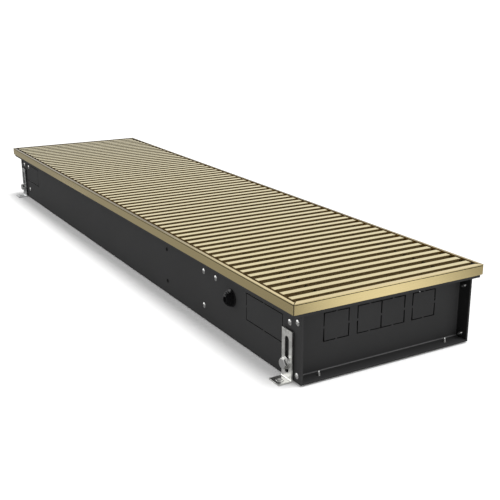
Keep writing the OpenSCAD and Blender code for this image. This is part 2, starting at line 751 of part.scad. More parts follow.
// One square connection block on the end of a pipe
module connection_block(y, z) difference() {
    block_between([block_x, y - block_side / 2, z - block_side / 2],
        [block_x + block_len, y + block_side / 2, z + block_side / 2]);
    bar_x(block_x - over, block_x + block_len, y, z, tube_r - tube_wall);
    bar_x(block_x + block_len - thread_depth, block_x + block_len + over, y, z, thread_r);
}

module connection_blocks() color("#c3a14f") {
    connection_block(tube_ys[0], tube_zs[0]);
    connection_block(tube_ys[2], tube_zs[1]);
}

module vent_body() color("#c3a14f") translate([vent_x, tube_ys[2], vent_z]) difference() {
    cylinder(h = vent_h, r = vent_r);
    translate([0, 0, vent_h - vent_screw_deep])
        cylinder(h = vent_screw_deep + over, r = vent_screw_r + run_gap);
}

module vent_screw() color("#d9d9d9") translate([vent_x, tube_ys[2], vent_z + vent_h]) difference() {
    union() {
        translate([0, 0, fit_gap]) cylinder(h = vent_head_h, r = vent_head_r);
        translate([0, 0, fit_gap * 2 - vent_screw_deep]) cylinder(h = vent_screw_deep, r = vent_screw_r);
    }
    translate([0, 0, vent_head_h]) cube([vent_head_r * 3, cut_w, vent_head_h], center = true);
}

// The fan's scroll and its air duct between two plates
module fan_casing(from, to) translate([from, -fan_y, fan_z]) rotate([90, 0, 90]) linear_extrude(to - from) {
    reach = casing_r * 2;
    duct_y = outlet_y + fan_y;
    difference() {
        circle(r = casing_out_r);
        circle(r = casing_r);
        polygon([[0, -reach], [0, 0], [-reach, reach], [reach, reach], [reach, -reach]]);
    }
    translate([0, -casing_out_r]) square([duct_y, casing_t]);
    translate([casing_r, fan_r * 0.5]) square([casing_t, fan_r * 0.5]);
    translate([casing_r, fan_r - casing_t]) square([duct_y - casing_r, casing_t]);
}

module fan_casing_near() color("#6f7273") fan_casing(centre_x + sheet_t, middle_x);

module fan_casing_far() color("#6f7273") fan_casing(far_x, centre_x);

module fan_bearings() color("#303030") for (x = [far_x - sheet_t, centre_x, middle_x]) difference() {
    union() {
        bar_x(x + sheet_t / 2 - bearing_half, x + sheet_t / 2 + bearing_half, -fan_y, fan_z, bearing_r);
        bar_x(x + sheet_t, x + sheet_t * 2, -fan_y, fan_z, bearing_r + sheet_t);
    }
    bar_x(x - bearing_w, x + bearing_w, -fan_y, fan_z, shaft_r + run_gap);
}

module fan_shaft() color("#a9a9a9")
    bar_x(far_x - sheet_t - bearing_half, coupling_mid_x - fit_gap, -fan_y, fan_z, shaft_r);

// A point on one side of a curved blade; t goes from 0 at its inner edge to 1 at its outer edge
function blade_point(t, side) = let (
    r = blade_in_r + (fan_r - blade_in_r) * t,
    a = blade_lean * t * (1 + blade_bow_share * (1 - t)) + side * blade_t / 2 / r * 180 / PI)
    [r * cos(a), r * sin(a)];

module blade_section() {
    polygon(concat([for (i = [0:blade_steps]) blade_point(i / blade_steps, -1)],
        [for (i = [blade_steps:-1:0]) blade_point(i / blade_steps, 1)]));
}

module impeller(from, to) translate([0, -fan_y, fan_z]) difference() {
    mid = (from + to - disc_t) / 2;
    union() {
        translate([from, 0, 0]) rotate([90, 0, 90]) linear_extrude(to - from)
            for (b = [0:blade_count - 1]) rotate([0, 0, b * 360 / blade_count]) blade_section();
        for (x = [from, mid, to - disc_t]) bar_x(x, x + disc_t, 0, 0, fan_r - blade_t);
    }
    bar_x(from - over, to + over, 0, 0, shaft_r + fit_gap);
}

module fan_impeller_near() color("#4c4f50")
    impeller(centre_x + impeller_gap, middle_x - bearing_half - step_gap);

module fan_impeller_far() color("#4c4f50")
    impeller(far_x + impeller_gap, centre_x - bearing_half - step_gap);

module fan_coupling() color("#1b1b1b") difference() {
    bar_x(coupling_x, coupling_end_x, -fan_y, fan_z, coupling_r);
    bar_x(coupling_x - over, coupling_mid_x, -fan_y, fan_z, shaft_r + fit_gap);
    bar_x(coupling_mid_x + fit_gap, coupling_end_x + over, -fan_y, fan_z, motor_shaft_r + fit_gap);
}

module motor_shaft() color("#a9a9a9")
    bar_x(coupling_mid_x + fit_gap * 2, motor_bore_end - fit_gap, -fan_y, fan_z, motor_shaft_r);

module motor_body() color("#5b5f61") difference() {
    union() {
        bar_x(motor_x, motor_end_x, -fan_y, fan_z, motor_r);
        bar_x(nose_x, motor_x + over, -fan_y, fan_z, nose_r);
    }
    bar_x(nose_x - over, motor_bore_end, -fan_y, fan_z, motor_shaft_r + run_gap);
    motor_screw_holes();
}

module motor_screws() color("#c9c9c9") on_motor_face() translate([-sheet_t, 0, 0]) rotate([0, -90, 0])
    sheet_screw(motor_screw_r, motor_screw_len, motor_screw_r * 2, motor_screw_r);

module terminal_box() color("#d8d8d2") difference() {
    block_between([term_x, term_front_y, term_z], [term_x + term_len, term_back_y, term_top]);
    block_between([term_x + term_wall, term_front_y + term_wall, term_z + term_wall],
        [term_x + term_len - term_wall, term_back_y - term_wall, term_top + over]);
    bar_y(term_fix[0], term_front_y - over, term_front_y + term_wall + over, term_fix[1], screw_r + fit_gap);
    bar_x(term_x - over, term_x + term_wall + over, lead_y, lead_z, lead_r + fit_gap);
    bar_x(term_x + term_len - term_wall - over, term_x + term_len + over, lead_y, lead_z, grommet_bore_r);
}

module terminal_lid() color("#c9c9c3") difference() {
    block_between([term_x, term_front_y + fit_gap, term_top],
        [term_x + term_len, term_back_y, term_top + term_lid_t]);
    for (x = lid_screw_xs) translate([x, term_back_y - term_wall * 2, term_top - over])
        cylinder(h = term_lid_t + over * 2, r = term_wall / 2 + fit_gap);
}

// Places its children at the seats of the terminals' screws
module on_terminals() {
    step = (term_block_high[0] - term_block_low[0]) / term_screw_count;
    for (i = [0:term_screw_count - 1])
        translate([term_block_low[0] + (i + 0.5) * step, (term_block_low[1] + term_block_high[1]) / 2,
            term_block_high[2] - term_screw_head]) children();
}

module terminal_block() color("#ece9df") difference() {
    block_between(term_block_low, term_block_high);
    on_terminals() cylinder(h = term_screw_head + over, r = term_screw_head + fit_gap);
}

// The terminals' screws, and the two that hold the lid
module terminal_screws() color("#c4a24a") {
    on_terminals() cylinder(h = term_screw_head * 0.8, r = term_screw_head);
    for (x = lid_screw_xs) translate([x, term_back_y - term_wall * 2, term_top + term_lid_t])
        sheet_screw(term_wall / 2, term_lid_t * 2, term_wall, term_wall / 2);
}

// The grommet's outline, turned about its own axis; its cone points outwards
module cable_grommet() color("#151515") translate([grommet_x, -wall_y, grommet_z]) rotate([90, 0, 0])
    rotate_extrude() {
        back = -sheet_t - fit_gap;
        steps = [for (i = [0:len(cone_step_shares) - 1]) let (
            y0 = i == 0 ? grommet_foot_t : cone_step_shares[i - 1][0] * grommet_len,
            y1 = cone_step_shares[i][0] * grommet_len,
            r = cone_step_shares[i][1] * grommet_r)
            each [[r, y0], [r, y1]]];
        polygon(concat([[grommet_bore_r, back - grommet_foot_t], [grommet_r * 0.9, back - grommet_foot_t],
            [grommet_r * 0.9, back], [grommet_neck_r, back], [grommet_neck_r, fit_gap],
            [grommet_r, fit_gap], [grommet_r, grommet_foot_t]], steps, [[grommet_bore_r, grommet_len]]));
    }

module lead_grommet() color("#151515") difference() {
    back_x = divider_x + sheet_t;
    rim_r = lead_r + lead_rim * 2;
    union() {
        bar_x(divider_x - lead_rim, back_x + lead_rim, lead_y, lead_z, lead_r + lead_rim);
        bar_x(divider_x - lead_rim, divider_x - fit_gap, lead_y, lead_z, rim_r);
        bar_x(back_x + fit_gap, back_x + lead_rim, lead_y, lead_z, rim_r);
    }
    bar_x(divider_x - fold_w, divider_x + fold_w, lead_y, lead_z, lead_r + fit_gap);
}

module motor_lead() color("#101010")
    bar_x(motor_end_x, term_x + term_wall * 2, lead_y, lead_z, lead_r);

// One foot at +Y: an upright with a height slot, bent out into a floor plate
module foot(x) difference() {
    union() {
        translate([x - foot_w / 2, 0, 0]) rotate([90, 0, 90]) linear_extrude(foot_w) {
            translate([foot_y, foot_bend_r]) square([foot_t, foot_h - foot_bend_r]);
            translate([foot_y + foot_bend_r, 0]) square([foot_t + foot_reach - foot_bend_r, foot_t]);
            translate([foot_y + foot_bend_r, foot_bend_r]) difference() {
                circle(r = foot_bend_r);
                circle(r = foot_bend_r - foot_t);
                translate([0, -foot_bend_r * 2]) square(foot_bend_r * 4);
                translate([-foot_bend_r * 2, 0]) square(foot_bend_r * 4);
            }
        }
        translate([x, foot_hole_y, 0]) cylinder(h = foot_t + foot_ring_h, r = foot_ring_r);
    }
    for (z = [slot_low + slot_w / 2, slot_high - slot_w / 2])
        bar_y(x, foot_y - over, foot_out_y + over, z, slot_w / 2);
    block_between([x - slot_w / 2, foot_y - over, slot_low + slot_w / 2],
        [x + slot_w / 2, foot_out_y + over, slot_high - slot_w / 2]);
    translate([x, foot_hole_y, -over]) cylinder(h = foot_t + foot_ring_h + over * 2, r = foot_hole_r);
}

// One clamp bolt at +Y
module clamp_bolt(x) {
    bar_y(x, bolt_tip_y, bolt_seat_y + over, bolt_z, bolt_r);
    translate([x, bolt_seat_y, bolt_z]) rotate([-90, 30, 0])
        cylinder(h = bolt_head_t, r = bolt_af / 2 / cos(30), $fn = 6);
}

module foot_front_near() color("#c9cbcc") mirror([0, 1, 0]) foot(foot_front_x);

module foot_front_far() color("#c9cbcc") mirror([0, 1, 0]) foot(-foot_front_x);

module foot_rear_near() color("#c9cbcc") foot(foot_rear_x);

module foot_rear_far() color("#c9cbcc") foot(-foot_rear_x);

module bolt_front_near() color("#b4b6b8") mirror([0, 1, 0]) clamp_bolt(foot_front_x);

module bolt_front_far() color("#b4b6b8") mirror([0, 1, 0]) clamp_bolt(-foot_front_x);

module bolt_rear_near() color("#b4b6b8") clamp_bolt(foot_rear_x);

module bolt_rear_far() color("#b4b6b8") clamp_bolt(-foot_rear_x);

// Places its children at the bolts of all four feet, on the wall's outside, with Z outwards
module at_bolts() {
    for (sx = [-1, 1]) {
        translate([sx * foot_rear_x, wall_y, bolt_z]) rotate([-90, 0, 0]) children();
        translate([sx * foot_front_x, -wall_y, bolt_z]) rotate([90, 0, 0]) children();
    }
}

module foot_washers() color("#d0d2d3") at_bolts()
    translate([0, 0, nut_flange_t + foot_t + fit_gap * 2]) difference() {
        cylinder(h = washer_t, r = washer_r);
        translate([0, 0, -over]) cylinder(h = washer_t + over * 2, r = bolt_r + seat_gap);
    }

module rivet_nuts() color("#a7a9aa") at_bolts() difference() {
    union() {
        cylinder(h = nut_flange_t, r = nut_flange_r);
        translate([0, 0, -nut_len]) cylinder(h = nut_len + over, r = nut_body_r);
    }
    translate([0, 0, -nut_len - over]) cylinder(h = nut_len + nut_flange_t + over * 2, r = bolt_r + run_gap);
}

module wall_screws() color("#dcdcdc") {
    for (f = concat(wall_fixes, [term_fix])) translate([f[0], -wall_y, f[1]]) rotate([90, 0, 0])
        sheet_screw(screw_r, screw_len, screw_head_r, screw_head_t);
    for (f = wall_fixes) translate([f[0], wall_y, f[1]]) rotate([-90, 0, 0])
        sheet_screw(screw_r, screw_len, screw_head_r, screw_head_t);
}

module floor_screws() color("#dcdcdc") for (f = floor_fixes) translate([f[0], f[1], under_gap])
    rotate([180, 0, 0]) sheet_screw(screw_r, screw_len, screw_head_r, screw_head_t);

module wall_rivets() color("#1a1a1a") both_sides() for (f = rivet_fixes) translate([f[0], wall_y, f[1]])
    rotate([-90, 0, 0]) sheet_screw(rivet_r, sheet_t * 3, rivet_head_r, rivet_head_t);

floor_pan();
side_wall_front();
side_wall_rear();
end_panel_near();
end_panel_far();
frame_rail_near();
frame_rail_far();
frame_rail_front();
frame_rail_rear();
frame_corner_keys();
frame_screws();
rest_strips();
grille_slats();
grille_rods();
grille_sleeves();
divider_plate();
middle_plate();
far_plate();
fan_centre_bracket();
motor_bracket();
exchanger_fins();
exchanger_tubes();
exchanger_bends();
connection_blocks();
vent_body();
vent_screw();
fan_casing_near();
fan_casing_far();
fan_bearings();
fan_shaft();
fan_impeller_near();
fan_impeller_far();
fan_coupling();
motor_shaft();
motor_body();
motor_screws();
terminal_box();
terminal_lid();
terminal_block();
terminal_screws();
cable_grommet();
lead_grommet();
motor_lead();
foot_front_near();
foot_front_far();
foot_rear_near();
foot_rear_far();
bolt_front_near();
bolt_front_far();
bolt_rear_near();
bolt_rear_far();
foot_washers();
rivet_nuts();
wall_screws();
floor_screws();
wall_rivets();
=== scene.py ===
"""Trench convector heater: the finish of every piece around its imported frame, and the studio."""
import json
import math

import bmesh
import bpy
from bpy.props import FloatProperty, FloatVectorProperty, IntProperty, PointerProperty
from mathutils import Matrix, Vector


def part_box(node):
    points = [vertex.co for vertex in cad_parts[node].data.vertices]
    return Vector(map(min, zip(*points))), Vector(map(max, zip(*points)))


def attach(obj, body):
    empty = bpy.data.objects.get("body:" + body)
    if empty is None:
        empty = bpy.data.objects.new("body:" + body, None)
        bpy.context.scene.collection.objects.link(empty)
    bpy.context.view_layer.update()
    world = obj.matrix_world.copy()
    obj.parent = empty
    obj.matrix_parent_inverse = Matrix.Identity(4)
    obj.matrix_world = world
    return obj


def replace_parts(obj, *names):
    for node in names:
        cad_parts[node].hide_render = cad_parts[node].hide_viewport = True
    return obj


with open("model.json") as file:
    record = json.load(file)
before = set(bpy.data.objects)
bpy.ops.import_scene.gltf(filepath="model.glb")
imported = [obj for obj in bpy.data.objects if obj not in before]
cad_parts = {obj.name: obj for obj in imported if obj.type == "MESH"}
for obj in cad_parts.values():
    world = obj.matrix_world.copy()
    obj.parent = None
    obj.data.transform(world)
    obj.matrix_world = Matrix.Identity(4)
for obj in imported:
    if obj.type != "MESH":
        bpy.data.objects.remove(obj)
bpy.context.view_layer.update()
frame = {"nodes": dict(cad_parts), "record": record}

bl_info = {
    "name": "Trench Convector Heater",
    "version": (1, 0, 0),
    "blender": (4, 5, 0),
    "location": "View3D > Sidebar > Heater",
    "description": "Dresses the frame of a trench convector heater, piece by piece",
    "category": "Add Mesh",
}

CORNERS = ("front_near", "front_far", "rear_near", "rear_far")
SHEET = 0.0012
# Play that a turned piece has on its shaft, and how close two places are when they count as one
GAP = 0.0001
NEAR = 0.0002
MERGE = 1e-5
FLAT = math.radians(0.5)
CORNER = math.radians(38)
CREASE = math.radians(40)
UP = Vector((0, 0, 1))
# Turns that point a piece's +Z along +X, +Y, -Y and -Z
TO_X = Matrix.Rotation(math.radians(90), 4, "Y")
TO_REAR = Matrix.Rotation(math.radians(-90), 4, "X")
TO_FRONT = Matrix.Rotation(math.radians(90), 4, "X")
DOWN = Matrix.Rotation(math.radians(180), 4, "X")


class Wire:
    """An output of a shader tree; arithmetic on it adds Math nodes."""

    def __init__(self, tree, socket):
        self.tree = tree
        self.socket = socket

    def maths(self, operation, *values):
        node = self.tree.nodes.new("ShaderNodeMath")
        node.operation = operation
        plug(self.tree, node, dict(enumerate(values)))
        return Wire(self.tree, node.outputs[0])

    def __add__(self, other):
        return self.maths("ADD", self, other)

    def __sub__(self, other):
        return self.maths("SUBTRACT", self, other)

    def __rsub__(self, other):
        return self.maths("SUBTRACT", other, self)

    def __mul__(self, other):
        return self.maths("MULTIPLY", self, other)

    __radd__ = __add__
    __rmul__ = __mul__


def plug(tree, node, inputs):
    """Links or sets a node's sockets, given by name or number."""
    for name, value in inputs.items():
        if isinstance(value, Wire):
            tree.links.new(value.socket, node.inputs[name])
        else:
            node.inputs[name].default_value = value


class Recipe:
    """The nodes of one material, which read the place on the piece in metres, or those of the sky."""

    def __init__(self, owner, place="Object"):
        owner.use_nodes = True
        self.owner = owner
        self.tree = owner.node_tree
        self.tree.nodes.clear()
        self.place = self.add("TexCoord", {}, {}, place)

    def add(self, kind, settings, inputs, output=0):
        node = self.tree.nodes.new("ShaderNode" + kind)
        for name, value in settings.items():
            if name == "stops":
                for stop, (at, tone) in zip(node.color_ramp.elements, value):
                    stop.position = at
                    stop.color = (tone, tone, tone, 1)
            else:
                setattr(node, name, value)
        plug(self.tree, node, inputs)
        return Wire(self.tree, node.outputs[output])

    def stretched(self, scale):
        """The place times a scale, which is one number or one for each axis."""
        scales = scale if isinstance(scale, tuple) else (scale, scale, scale)
        return self.add("Mapping", {}, {"Vector": self.place, "Scale": scales})

    def noise(self, scale, detail=3.0, roughness=0.5):
        return self.add("TexNoise", {}, {"Vector": self.stretched(scale), "Scale": 1.0,
                                         "Detail": detail, "Roughness": roughness})

    def cells(self, scale):
        """A random tone for each cell, as from the crystals of zinc."""
        colour = self.add("TexVoronoi", {}, {"Vector": self.stretched(scale), "Scale": 1.0}, "Color")
        return self.add("SeparateColor", {}, {0: colour})

    def axis(self, name):
        return self.add("SeparateXYZ", {}, {0: self.place}, name)

    def ramp(self, factor, low, high):
        return self.add("ValToRGB", {"stops": [(low, 0.0), (high, 1.0)]}, {0: factor})

    def towards(self, direction, low, high, lift=0.0):
        """Rises from 0 to 1 as the place's reach along a direction goes from low to high.

        The lift brings a range that starts below zero up to where a ramp can hold it."""
        reach = self.add("VectorMath", {"operation": "DOT_PRODUCT"}, {0: self.place, 1: direction}, "Value")
        return self.ramp(reach + lift, low + lift, high + lift)

    def mix(self, factor, first, second):
        return self.add("Mix", {"data_type": "RGBA"}, {0: factor, 6: opaque(first), 7: opaque(second)}, 2)

    def bump(self, height, distance, strength=1.0):
        return self.add("Bump", {}, {"Height": height, "Distance": distance, "Strength": strength})

    def surface(self, inputs, shader="BsdfPrincipled", end="OutputMaterial"):
        lit = self.add(shader, {}, inputs)
        output = self.tree.nodes.new("ShaderNode" + end)
        self.tree.links.new(lit.socket, output.inputs["Surface"])
        return self.owner


def opaque(colour):
    return colour if isinstance(colour, Wire) else (*tuple(colour)[:3], 1.0)


def shade(colour, share):
    return tuple(part * share for part in tuple(colour)[:3])


def new_recipe(name):
    return Recipe(bpy.data.materials.new(name))


def looks():
    return bpy.context.scene.heater_looks


def sizes():
    return bpy.context.scene.heater_sizes


def once(make):
    """Makes a material the first time that a piece asks for it."""
    def made(*words):
        name = "_".join((make.__name__, *words))
        return bpy.data.materials.get(name) or make(name, *words)
    return made


@once
def powder_coat(name, part):
    """The trough's coat: its own tone outside, darker inside as painted shade, near black in the cuts as
    painted shade, light on a bend as a painted highlight.
    """
    recipe = new_recipe(name)
    # The inside share is painted shade on the trough's inner faces and also the rivets' own dark tone; the
    # cut share is painted shade; the bend share is a painted highlight
    coat = shade(looks().sheet_colour, {"outside": 1.0, "inside": 0.3, "cut": 0.08, "bend": 3.5}[part])
    grain = recipe.noise(1400, 2.0)
    drift = recipe.noise(14, 3.0)
    colour = recipe.mix(drift * 0.6 + grain * 0.4, shade(coat, 0.82), shade(coat, 1.18))
    return recipe.surface({"Base Color": colour, "Roughness": drift * 0.12 + grain * 0.1 + 0.42,
                           "Specular IOR Level": 0.02,
                           "Normal": recipe.bump(grain, 3e-5, 0.5)})


@once
def anodised(name, part, along):
    """Brushed, brass-coloured anodising with its brush lines along one axis.

    Painted shade: the slats' sides take a dark tint that darkens further towards the far end, the sleeves a
    darkened one, the rear and far lips a dark one that lightens towards the near end, and the front lip
    darkens towards the far end. The sides and the darkened lips don't reflect."""
    recipe = new_recipe(name)
    tint, rough = {"frame": (looks().frame_colour, 0.09), "lip": (looks().frame_colour, 0.09),
                   # Painted shade: the rear and far lips, lighter towards the near end
                   "dull_lip": (shade(looks().dull_lip_colour, 2.4), 0.3),
                   # The slats' sides: a dark, dull tint as painted shade of the gaps
                   "slat": (looks().slat_colour, 0.17), "side": (looks().slat_side_colour, 0.45),
                   # The sleeves' darkened tint is painted shade, as in the gaps between the slats
                   "sleeve": (shade(looks().slat_colour, 0.4), 0.4)}[part]
    fine = 2600
    long = 22
    lines = recipe.noise((long, fine, fine) if along == "x" else (fine, long, fine), 4.0, 0.6)
    drift = recipe.noise(7, 2.0)
    colour = recipe.mix(lines * 0.55 + drift * 0.45, shade(tint, 0.88), shade(tint, 1.08))
    # The painted shade on the slats' sides and the darkened lips doesn't reflect
    metal = float(part not in ("side", "dull_lip"))
    # Painted shade on a lip: towards the far end it takes the lip shade colour and stops reflecting
    if part.endswith("lip"):
        near = recipe.ramp(recipe.axis("X"), 0.22, 0.56)
        metal = near * metal
        colour = recipe.mix(near, looks().dull_lip_colour, colour)
    # More painted shade: the slats' sides darken towards the far end
    if part == "side":
        far = recipe.ramp(recipe.axis("X") * -1, 0.1, 0.6)
        colour = recipe.mix(far, colour, shade(tint, 0.3))
    return recipe.surface({"Base Color": colour, "Metallic": metal, "Roughness": lines * 0.12 + rough,
                           "Specular IOR Level": 0.1, "Normal": recipe.bump(lines, 1.2e-5, 0.35)})


@once
def galvanised(name, tone):
    """Zinc-dipped sheet with its spangle of crystals."""
    recipe = new_recipe(name)
    tint = looks().foot_colour if tone == "bright" else looks().plate_colour
    crystals = recipe.cells(170)
    small = recipe.cells(420)
    drift = recipe.noise(30, 3.0)
    tone_mix = crystals * 0.5 + small * 0.2 + drift * 0.3
    colour = recipe.mix(tone_mix, shade(tint, 0.72), shade(tint, 1.16))
    return recipe.surface({"Base Color": colour, "Metallic": 1.0, "Roughness": tone_mix * 0.24 + 0.22,
                           "Normal": recipe.bump(small, 1e-5, 0.25)})


@once
def zinc_plate(name):
    recipe = new_recipe(name)
    tint = looks().zinc_colour
    drift = recipe.noise(160, 3.0)
    fine = recipe.noise(2400, 2.0)
    colour = recipe.mix(drift, shade(tint, 0.86), shade(tint, 1.1))
    return recipe.surface({"Base Color": colour, "Metallic": 1.0, "Roughness": drift * 0.1 + 0.15,
                           "Normal": recipe.bump(fine, 6e-6, 0.2)})


@once
def mill_aluminium(name):
    recipe = new_recipe(name)
    tint = looks().fin_colour
    lines = recipe.noise((900, 900, 40), 3.0)
    smears = recipe.noise((40, 60, 60), 3.0)
    colour = recipe.mix(lines * 0.5 + smears * 0.5, shade(tint, 0.8), shade(tint, 1.12))
    return recipe.surface({"Base Color": colour, "Metallic": 1.0, "Roughness": smears * 0.2 + 0.28,
                           "Normal": recipe.bump(lines, 1e-5, 0.3)})


@once
def dark_aluminium(name):
    recipe = new_recipe(name)
    tint = looks().impeller_colour
    drift = recipe.noise(60, 3.0)
    colour = recipe.mix(drift, shade(tint, 0.8), shade(tint, 1.25))
    return recipe.surface({"Base Color": colour, "Metallic": 0.7, "Roughness": drift * 0.2 + 0.38,
                           "Normal": recipe.bump(recipe.noise(1800), 1e-5, 0.3)})


@once
def drawn_copper(name):
    """Copper tube, tarnished in patches."""
    recipe = new_recipe(name)
    tint = looks().copper_colour
    lines = recipe.noise((25, 1600, 1600), 3.0)
    tarnish = recipe.ramp(recipe.noise((45, 60, 60), 4.0, 0.6), 0.48, 0.7)
    bright = recipe.mix(lines, shade(tint, 0.9), shade(tint, 1.1))
    colour = recipe.mix(tarnish, bright, (0.34, 0.15, 0.09))
    rough = tarnish * 0.25 + lines * 0.1 + 0.22
    return recipe.surface({"Base Color": colour, "Metallic": 1.0, "Roughness": rough,
                           "Normal": recipe.bump(lines, 8e-6, 0.3)})


@once
def machined_brass(name):
    recipe = new_recipe(name)
    tint = looks().fitting_colour
    lines = recipe.noise((2200, 90, 90), 3.0)
    drift = recipe.noise(70, 3.0)
    colour = recipe.mix(drift * 0.6 + lines * 0.4, shade(tint, 0.8), shade(tint, 1.12))
    return recipe.surface({"Base Color": colour, "Metallic": 1.0, "Roughness": drift * 0.14 + 0.24,
                           "Normal": recipe.bump(lines, 1e-5, 0.3)})


@once
def satin_rubber(name, part):
    """Black rubber; the copy without sheen is painted shade and doesn't reflect."""
    recipe = new_recipe(name)
    sheen = 1.0 if part == "clean" else 0.0
    grain = recipe.noise(1500, 3.0)
    bloom = recipe.noise(90, 3.0)
    colour = recipe.mix(bloom * 0.7 + grain * 0.3, (0.006, 0.006, 0.006), (0.016, 0.016, 0.017))
    return recipe.surface({"Base Color": colour, "Roughness": bloom * 0.12 + 0.12,
                           "Specular IOR Level": sheen, "Coat Weight": sheen * 0.8, "Coat Roughness": 0.1,
                           "Normal": recipe.bump(grain, 1e-5, 0.2)})


@once
def moulded_plastic(name, tone):
    recipe = new_recipe(name)
    tint = {"black": (0.03, 0.03, 0.03), "grey": (0.56, 0.56, 0.53), "white": (0.78, 0.76, 0.70)}[tone]
    grain = recipe.noise(1300, 3.0)
    flow = recipe.noise(25, 2.0)
    colour = recipe.mix(flow * 0.5 + grain * 0.5, shade(tint, 0.93), shade(tint, 1.05))
    return recipe.surface({"Base Color": colour, "Roughness": grain * 0.16 + 0.38,
                           "Normal": recipe.bump(grain, 2.5e-5, 0.3)})


@once
def motor_coat(name):
    recipe = new_recipe(name)
    tint = looks().motor_colour
    grain = recipe.noise(900, 3.0)
    drift = recipe.noise(30, 2.0)
    colour = recipe.mix(drift, shade(tint, 0.85), shade(tint, 1.15))
    return recipe.surface({"Base Color": colour, "Metallic": 0.2, "Roughness": drift * 0.15 + 0.38,
                           "Normal": recipe.bump(grain, 3e-5, 0.45)})


def shape_of(node):
    """A copy of a node's mesh, its triangles merged and its flat faces made whole."""
    body = bmesh.new()
    body.from_mesh(frame["nodes"][node].data)
    bmesh.ops.remove_doubles(body, verts=body.verts, dist=MERGE)
    bmesh.ops.dissolve_limit(body, angle_limit=FLAT, verts=body.verts, edges=body.edges)
    return body


def solids_of(node):
    """The lowest and highest corner of each separate solid of a node."""
    body = shape_of(node)
    left = set(body.verts)
    boxes = []
    while left:
        front = [left.pop()]
        found = list(front)
        while front:
            near = {edge.other_vert(vert) for vert in front for edge in vert.link_edges}
            front = list(near & left)
            left -= near
            found += front
        boxes.append(tuple(Vector([pick(vert.co[i] for vert in found) for i in range(3)])
                           for pick in (min, max)))
    body.free()
    return sorted(boxes, key=lambda box: tuple(box[0]))


def round_edges(body, width, segments=2, chosen=None):
    """Rounds the sharp edges, or the chosen ones among them."""
    edges = [edge for edge in body.edges if edge.is_manifold and edge.calc_face_angle() > CORNER
             and (chosen is None or chosen(edge))]
    bmesh.ops.bevel(body, geom=edges, offset=width, offset_type="OFFSET", affect="EDGES", segments=segments,
                    profile=0.5, material=-1, clamp_overlap=True)


def along_at(axis, **places):
    """Picks the edges along an axis that lie at all the given coordinates, each x, y or z."""
    def chosen(edge):
        first, second = (vert.co for vert in edge.verts)
        run = (first - second).normalized()
        return abs(run["xyz".index(axis)]) > 0.999 and all(
            abs(abs(first["xyz".index(name)]) - abs(value)) < NEAR for name, value in places.items())
    return chosen


def turned(profile, steps=32, closed=False):
    """A body turned about Z from its outline, given as (radius, height) points."""
    body = bmesh.new()
    points = [body.verts.new((radius, 0, height)) for radius, height in profile]
    edges = [body.edges.new(pair) for pair in zip(points, points[1:] + points[:1] if closed else points[1:])]
    bmesh.ops.spin(body, geom=points + edges, cent=(0, 0, 0), axis=UP, angle=math.tau, steps=steps,
                   use_merge=True, use_duplicate=False)
    bmesh.ops.remove_doubles(body, verts=body.verts, dist=1e-6)
    bmesh.ops.recalc_face_normals(body, faces=body.faces)
    return body


def helix(radius, reach, pitch, length, steps=12):
    """A screw thread's ridge around Z, from zero up; a negative reach points it inwards."""
    body = bmesh.new()
    root = radius - math.copysign(0.08 * pitch, reach)
    points = [body.verts.new(place) for place in
              ((root, 0, 0), (radius + reach, 0, pitch * 0.45), (root, 0, pitch * 0.9))]
    edges = [body.edges.new((points[i], points[i - 1])) for i in range(3)]
    turns = (length - pitch) / pitch
    bmesh.ops.spin(body, geom=points + edges, cent=(0, 0, 0), axis=UP, dvec=(0, 0, pitch / steps),
                   angle=math.tau * turns, steps=max(3, round(steps * turns)), use_merge=False,
                   use_duplicate=False)
    ends = [edge for edge in body.edges if edge.is_boundary]
    bmesh.ops.holes_fill(body, edges=ends, sides=3)
    bmesh.ops.recalc_face_normals(body, faces=body.faces)
    return body


def block(low, high):
    """A block between two opposite corners."""
    low, high = Vector(low), Vector(high)
    body = bmesh.new()
    bmesh.ops.create_cube(body, size=1.0, matrix=Matrix.Translation((low + high) / 2)
                          @ Matrix.Diagonal((*(high - low), 1)))
    return body


def put(body, part, *places):
    """Adds a part to a body at each place, and lets go of the part."""
    mesh = bpy.data.meshes.new("part")
    part.to_mesh(mesh)
    part.free()
    for place in places or (Matrix(),):
        copy = mesh.copy()
        copy.transform(place)
        body.from_mesh(copy)
        bpy.data.meshes.remove(copy)
    bpy.data.meshes.remove(mesh)
    return body


def cut(body, tool, operation="DIFFERENCE"):
    """The body less the tool, or what the two share; lets go of both."""
    pair = []
    for part in (body, tool):
        mesh = bpy.data.meshes.new("cut")
        part.to_mesh(mesh)
        part.free()
        pair.append(bpy.data.objects.new("cut", mesh))
        bpy.context.scene.collection.objects.link(pair[-1])
    change = pair[0].modifiers.new("Cut", "BOOLEAN")
    change.operation = operation
    change.object = pair[1]
    change.solver = "EXACT"
    seen = pair[0].evaluated_get(bpy.context.evaluated_depsgraph_get())
    mesh = bpy.data.meshes.new_from_object(seen)
    result = bmesh.new()
    result.from_mesh(mesh)
    for part in pair:
        bpy.data.meshes.remove(part.data)
    bpy.data.meshes.remove(mesh)
    return result


def centred(box, axis, at):
    """The place in the middle of a box, moved along one axis to a coordinate."""
    place = (box[0] + box[1]) / 2
    place["xyz".index(axis)] = at
    return Matrix.Translation(place)


def on_wall(box, head):
    """The seat of a head of the given height on a side wall's outside, with +Z pointing outwards."""
    low, high = box
    return centred(box, "y", low.y + head) @ TO_FRONT if low.y < 0 else centred(
        box, "y", high.y - head) @ TO_REAR


def slot_of(node):
    return next(part["material_slot"] for part in frame["record"]["subparts"] if part["node"] == node)


def body_of(node):
    return next(name for name, nodes in frame["record"]["behaviour"]["bodies"].items() if node in nodes)


